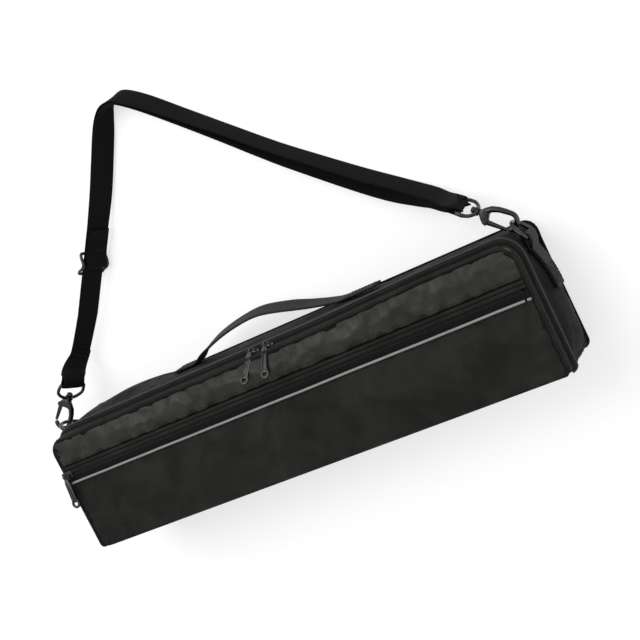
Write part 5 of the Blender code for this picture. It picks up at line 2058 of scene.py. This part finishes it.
    def fold(self, place: Matrix) -> None:
        """Webbing folded round the adjuster's middle bar, with its tail sewn down.

        Args:
            place: frame of the adjuster.
        """
        turn = self.bar_radius + self.gap + self.thickness / 2
        pitch = self.thickness + self.gap
        over = [(self.fold_length, 0.0), (0.024, 0.0), (0.016, 0.0), (0.01, 0.0002), (0.006, 0.0011), (0.003, 0.0023)]
        path = [(x, 2 * pitch + rise) for x, rise in over]
        path += [(turn * cos(a), pitch + turn + turn * sin(a)) for a in np.linspace(pi / 2, 1.5 * pi, 13)]
        path += [(0.008, pitch), (0.016, pitch), (0.024, pitch), (self.fold_length, pitch)]
        line = [place @ Vector((p.x, 0, p.y)) for p in rounded_line([(x, z, 0) for x, z in path], 3)]
        side = place.to_3x3() @ Vector((0, 1, 0))
        fold = skinned("adjuster_fold", webbing_rings(line, [side] * len(line), self.width, self.thickness))
        self.dress(fold, "strap webbing", "strap_adjuster", ["strap_adjuster_fold"])
        bm = bmesh.new()
        top = 2 * pitch + self.thickness / 2 + 0.0001
        for x in (0.0295, 0.027, 0.0135):
            row = [place @ Vector((x, self.width * (k / 8 - 0.5) * 0.84, top)) for k in range(9)]
            stitches_into(bm, row, [place.to_3x3() @ UP] * 9, 0.0024)
        self.dress(finish_mesh(bm, "adjuster_fold_stitches"), "sewing thread", "strap_adjuster")

    def tri_glide(self, place: Matrix) -> None:
        """Wire adjuster with low outer bars and a raised middle bar.

        Args:
            place: frame of the adjuster.
        """
        low = -self.thickness / 2 - self.gap - self.bar_radius
        high = self.thickness + self.gap + self.bar_radius + self.gap + self.thickness / 2
        side = self.width / 2 + 0.0006 + self.bar_radius
        half = [(-0.009, self.width / 2, low), (-0.0082, side - 0.0004, low + 0.0003), (-0.006, side, low + 0.0016)]
        half += [(-0.003, side, high - 0.0014), (0.0, side, high)]
        rail = half + [(-a, c, u) for a, c, u in reversed(half[:-1])]
        path = [*rail, (0.009, 0.0, low), *[(-a, -c, u) for a, c, u in rail], (-0.009, 0.0, low)]
        bm = bmesh.new()
        line = [place @ p for p in rounded_line(path, 3, loop=True)]
        skin_into(bm, tube_rings(line, self.bar_radius, 14, loop=True), loop=True)
        bar = [place @ Vector((0, side * s, high)) for s in (-1, -0.5, 0, 0.5, 1)]
        skin_into(bm, tube_rings(bar, self.bar_radius * 0.96, 14))
        piece = finish_mesh(bm, "adjuster_wire", METAL_ANGLE)
        self.dress(piece, "blackened zinc", "strap_adjuster", ["tri_glide"])


# Room, light and camera

@dataclass
class Studio:
    """White floor, soft light and the camera of the photograph."""

    camera_place: Triple = (0.4783, 0.158, 0.9372)
    right: Triple = (0.8267204, -0.4399998, -0.3506188)
    up: Triple = (0.3549113, 0.8914138, -0.2818144)
    back: Triple = (0.4365447, 0.1085431, 0.8931109)
    lens: float = 73.125

    def build(self) -> None:
        """Set the stage."""
        scene = bpy.context.scene
        scene.view_settings.view_transform = "Standard"
        camera = bpy.data.cameras.new("camera")
        camera.lens, camera.sensor_width, camera.sensor_fit = self.lens, 36.0, "HORIZONTAL"
        camera.clip_start, camera.clip_end = 0.05, 50.0
        viewer = bpy.data.objects.new("camera", camera)
        scene.collection.objects.link(viewer)
        turn = Matrix((self.right, self.up, self.back)).transposed().to_4x4()
        viewer.matrix_world = Matrix.Translation(Vector(self.camera_place)) @ turn
        scene.camera = viewer
        self.floor()
        self.world()
        self.lamp("key_softbox", (-0.55, 0.95, 1.35), 1.3, 21.0)
        self.lamp("fill_softbox", (1.35, -0.25, 1.1), 1.2, 9.0)

    def lamp(self, name: str, place: Triple, size: float, power: float) -> None:
        """A square soft light aimed at the bag.

        Args:
            name: name of the light.
            place: where it stands.
            size: length of its side.
            power: watts.
        """
        light = bpy.data.lights.new(name, "AREA")
        light.energy, light.size = power, size
        lamp = bpy.data.objects.new(name, light)
        bpy.context.scene.collection.objects.link(lamp)
        lamp.location = place
        lamp.rotation_mode = "QUATERNION"
        lamp.rotation_quaternion = (Vector(place) - Vector((0, 0.05, 0.04))).to_track_quat("Z", "Y")

    @staticmethod
    def seen_directly(tree: Tree) -> Socket:
        """One where the camera, a gloss or a glass looks at the surface, zero for its light on the bag.

        Args:
            tree: node tree to build in.

        Returns:
            A socket of zero or one.
        """
        path = add_node(tree, "LightPath")
        seen = path.outputs["Is Camera Ray"]
        for ray in ("Is Glossy Ray", "Is Transmission Ray"):
            links = {0: seen, 1: path.outputs[ray]}
            seen = add_node(tree, "Math", {"operation": "MAXIMUM"}, links=links).outputs[0]
        return seen

    def floor(self) -> None:
        """Seamless white paper that keeps the bag's shadow."""
        mesh = bpy.data.meshes.new("floor")
        mesh.from_pydata([(-6, -6, 0), (6, -6, 0), (6, 6, 0), (-6, 6, 0)], [], [(0, 1, 2, 3)])
        floor = bpy.data.objects.new("floor", mesh)
        bpy.context.scene.collection.objects.link(floor)
        material = bpy.data.materials.new("white paper")
        material.use_nodes = True
        tree = material.node_tree
        tree.nodes.clear()
        matt = add_node(tree, "BsdfDiffuse", values={"Color": linear("#b9b9b9")})
        seen = self.seen_directly(tree)
        strength = add_node(tree, "Math", {"operation": "MULTIPLY"}, {1: 0.58}, {0: seen})
        glow = add_node(tree, "Emission", links={"Strength": strength.outputs[0]})
        both = add_node(tree, "AddShader", links={0: matt.outputs[0], 1: glow.outputs[0]})
        add_node(tree, "OutputMaterial", links={"Surface": both.outputs[0]})
        mesh.materials.append(material)

    def world(self) -> None:
        """Even light from all round, with white behind the bag."""
        world = bpy.data.worlds.new("studio")
        bpy.context.scene.world = world
        world.use_nodes = True
        tree = world.node_tree
        tree.nodes.clear()
        seen = self.seen_directly(tree)
        strength = add_node(tree, "MapRange", values={"To Min": 0.45, "To Max": 1.0}, links={"Value": seen})
        sky = add_node(tree, "Background", values={"Color": (1, 1, 1, 1)}, links={"Strength": strength.outputs[0]})
        add_node(tree, "OutputWorld", links={"Surface": sky.outputs[0]})


def wardrobe() -> Wardrobe:
    """The bag's finishes.

    Returns:
        The finishes by name.
    """
    return Wardrobe(
        {
            # Matt cloth whose weave just shows, with a painted highlight that makes it a little paler on its creases
            "side nylon": WovenCloth("600-denier nylon, plain woven", "body_fabric", 0.78, 0.12, "#121211", "#1c1c1a"),
            # The same cloth over foam: smoother, with wide soft creases
            "front nylon": WovenCloth(
                "600-denier nylon, foam backed", "body_fabric", 0.76, 0.13, "#131312", "#1d1d1b", crease_mm=34,
                crease_depth_mm=0.35
            ),
            # Slick coating, so each crinkle catches a pale streak; the streaks are partly real gloss and partly painted
            # highlight on its creases
            "crinkled nylon": CrinkledNylon(
                "coated taffeta nylon, crinkled", "upper_nylon", 0.5, 0.22, "#131411", "#25261f", crease_mm=16,
                crease_depth_mm=1.2, crease_stretch=2.2
            ),
            # Ribbed and dull, darker than the cloth beside it
            "seam binding": RibbedTape(
                "grosgrain binding", "body_fabric", 0.82, 0.1, "#090909", "#121211", rib_mm=1.2, rib_depth_mm=0.1
            ),
            # Thick smooth yarns with a low sheen along the ribs
            "webbing": RibbedTape("polypropylene webbing", "webbing", 0.66, 0.2, "#10110f", "#20211d"),
            # Denser and blacker than the handle's, with almost no sheen
            "strap webbing": RibbedTape(
                "polyester strap webbing", "webbing", 0.78, 0.08, "#050505", "#10100f", rib_mm=2.4
            ),
            # Flat knit, matt and nearly black
            "zip tape": RibbedTape(
                "knitted polyester zip tape", "zip_tape", 0.8, 0.1, "#070707", "#10100f", rib_mm=1.4, rib_depth_mm=0.15,
                yarn_mm=1.2, yarn_depth_mm=0.06
            ),
            # Smooth extruded thread: a small soft glint on each turn
            "nylon coil": GrainedFinish("extruded nylon coil", "zip_tape", 0.5, 0.25, "#070707", "#0f0f0f"),
            # Thin and silky, a bluish dark grey
            "lining taffeta": WovenCloth(
                "polyester taffeta lining", "lining", 0.6, 0.35, "#2b2c2f", "#3d3e42", crease_mm=18, thread_mm=1.1
            ),
            # Satin pulled round a cord: one long soft highlight
            "piping cloth": GrainedFinish(
                "piping in satin nylon", "dark_piping", 0.5, 0.3, "#141413", "#20201e", grain_mm=0.9,
                grain_depth_mm=0.06
            ),
            # Fine glass beads: an even silver grey without a mirror's glints
            "reflective cloth": GrainedFinish(
                "glass-bead reflective cloth over cord", "silver_piping", 0.45, 0.3, "#6f706e", "#8c8d8a", grain_mm=0.8,
                grain_depth_mm=0.05, metallic=0.15
            ),
            # Round twisted thread with a slight shine
            "sewing thread": GrainedFinish(
                "bonded polyester thread", "body_fabric", 0.6, 0.2, "#0c0c0c", "#1b1b19", grain_mm=0.7
            ),
            # Black plating over a cast skin: sharp, broken highlights
            "blackened zinc": GrainedFinish(
                "die-cast zinc, black plated", "black_metal", 0.33, 0.5, "#19191a", "#2b2b2c", metallic=1.0, coat=0.5
            ),
        }
    )


def zip_place(x: float, shape: CaseShape) -> Matrix:
    """Frame of a main slider: lengthwise, down the tape and out of it.

    Args:
        x: place along the top.
        shape: sizes of the case.

    Returns:
        The frame.
    """
    lean = radians(20)  # of the shoulder that carries the zip
    out, down = Vector((0, cos(lean), sin(lean))), Vector((0, sin(lean), -cos(lean)))
    turn = Matrix(((1, 0, 0), down, out)).transposed().to_4x4()
    return Matrix.Translation((x, shape.half_height - shape.split_inset, shape.split)) @ turn


def main() -> None:
    """Build the bag piece by piece, then the room."""
    logging.basicConfig(level=logging.INFO, format="%(name)s: %(message)s")
    dress, shape = wardrobe().dress, CaseShape()
    log.info("case, %.0f mm long", shape.half_length * 2000)
    CaseBody(shape, dress).build()
    MainZip(shape, dress).build()
    lid = Lid(shape, dress)
    lid.build()
    PocketZip(lid, dress).build()
    CarryHandle(shape, dress).build()
    hooks = {}
    for side in Side:
        RingTab(side, shape, dress).build()
        hooks[side] = SnapHook(side, dress)
        hooks[side].build()
    ShoulderStrap(hooks[Side.LEFT], hooks[Side.RIGHT], dress).build()
    ZipSlider("main_slider_left", "main_pull_left", zip_place(-0.0085, shape), 26, (0.0009,), dress).build()
    ZipSlider("main_slider_right", "main_pull_right", zip_place(0.005, shape), 12, (-0.0017, 0.0017), dress).build()
    pocket = Matrix.Translation((-0.2155, 0.0169, 0.0779))
    ZipSlider("pocket_slider", "pocket_pull", pocket, 2, (0.0,), dress, rise=5).build()
    Studio().build()


if __name__ == "__main__":
    main()
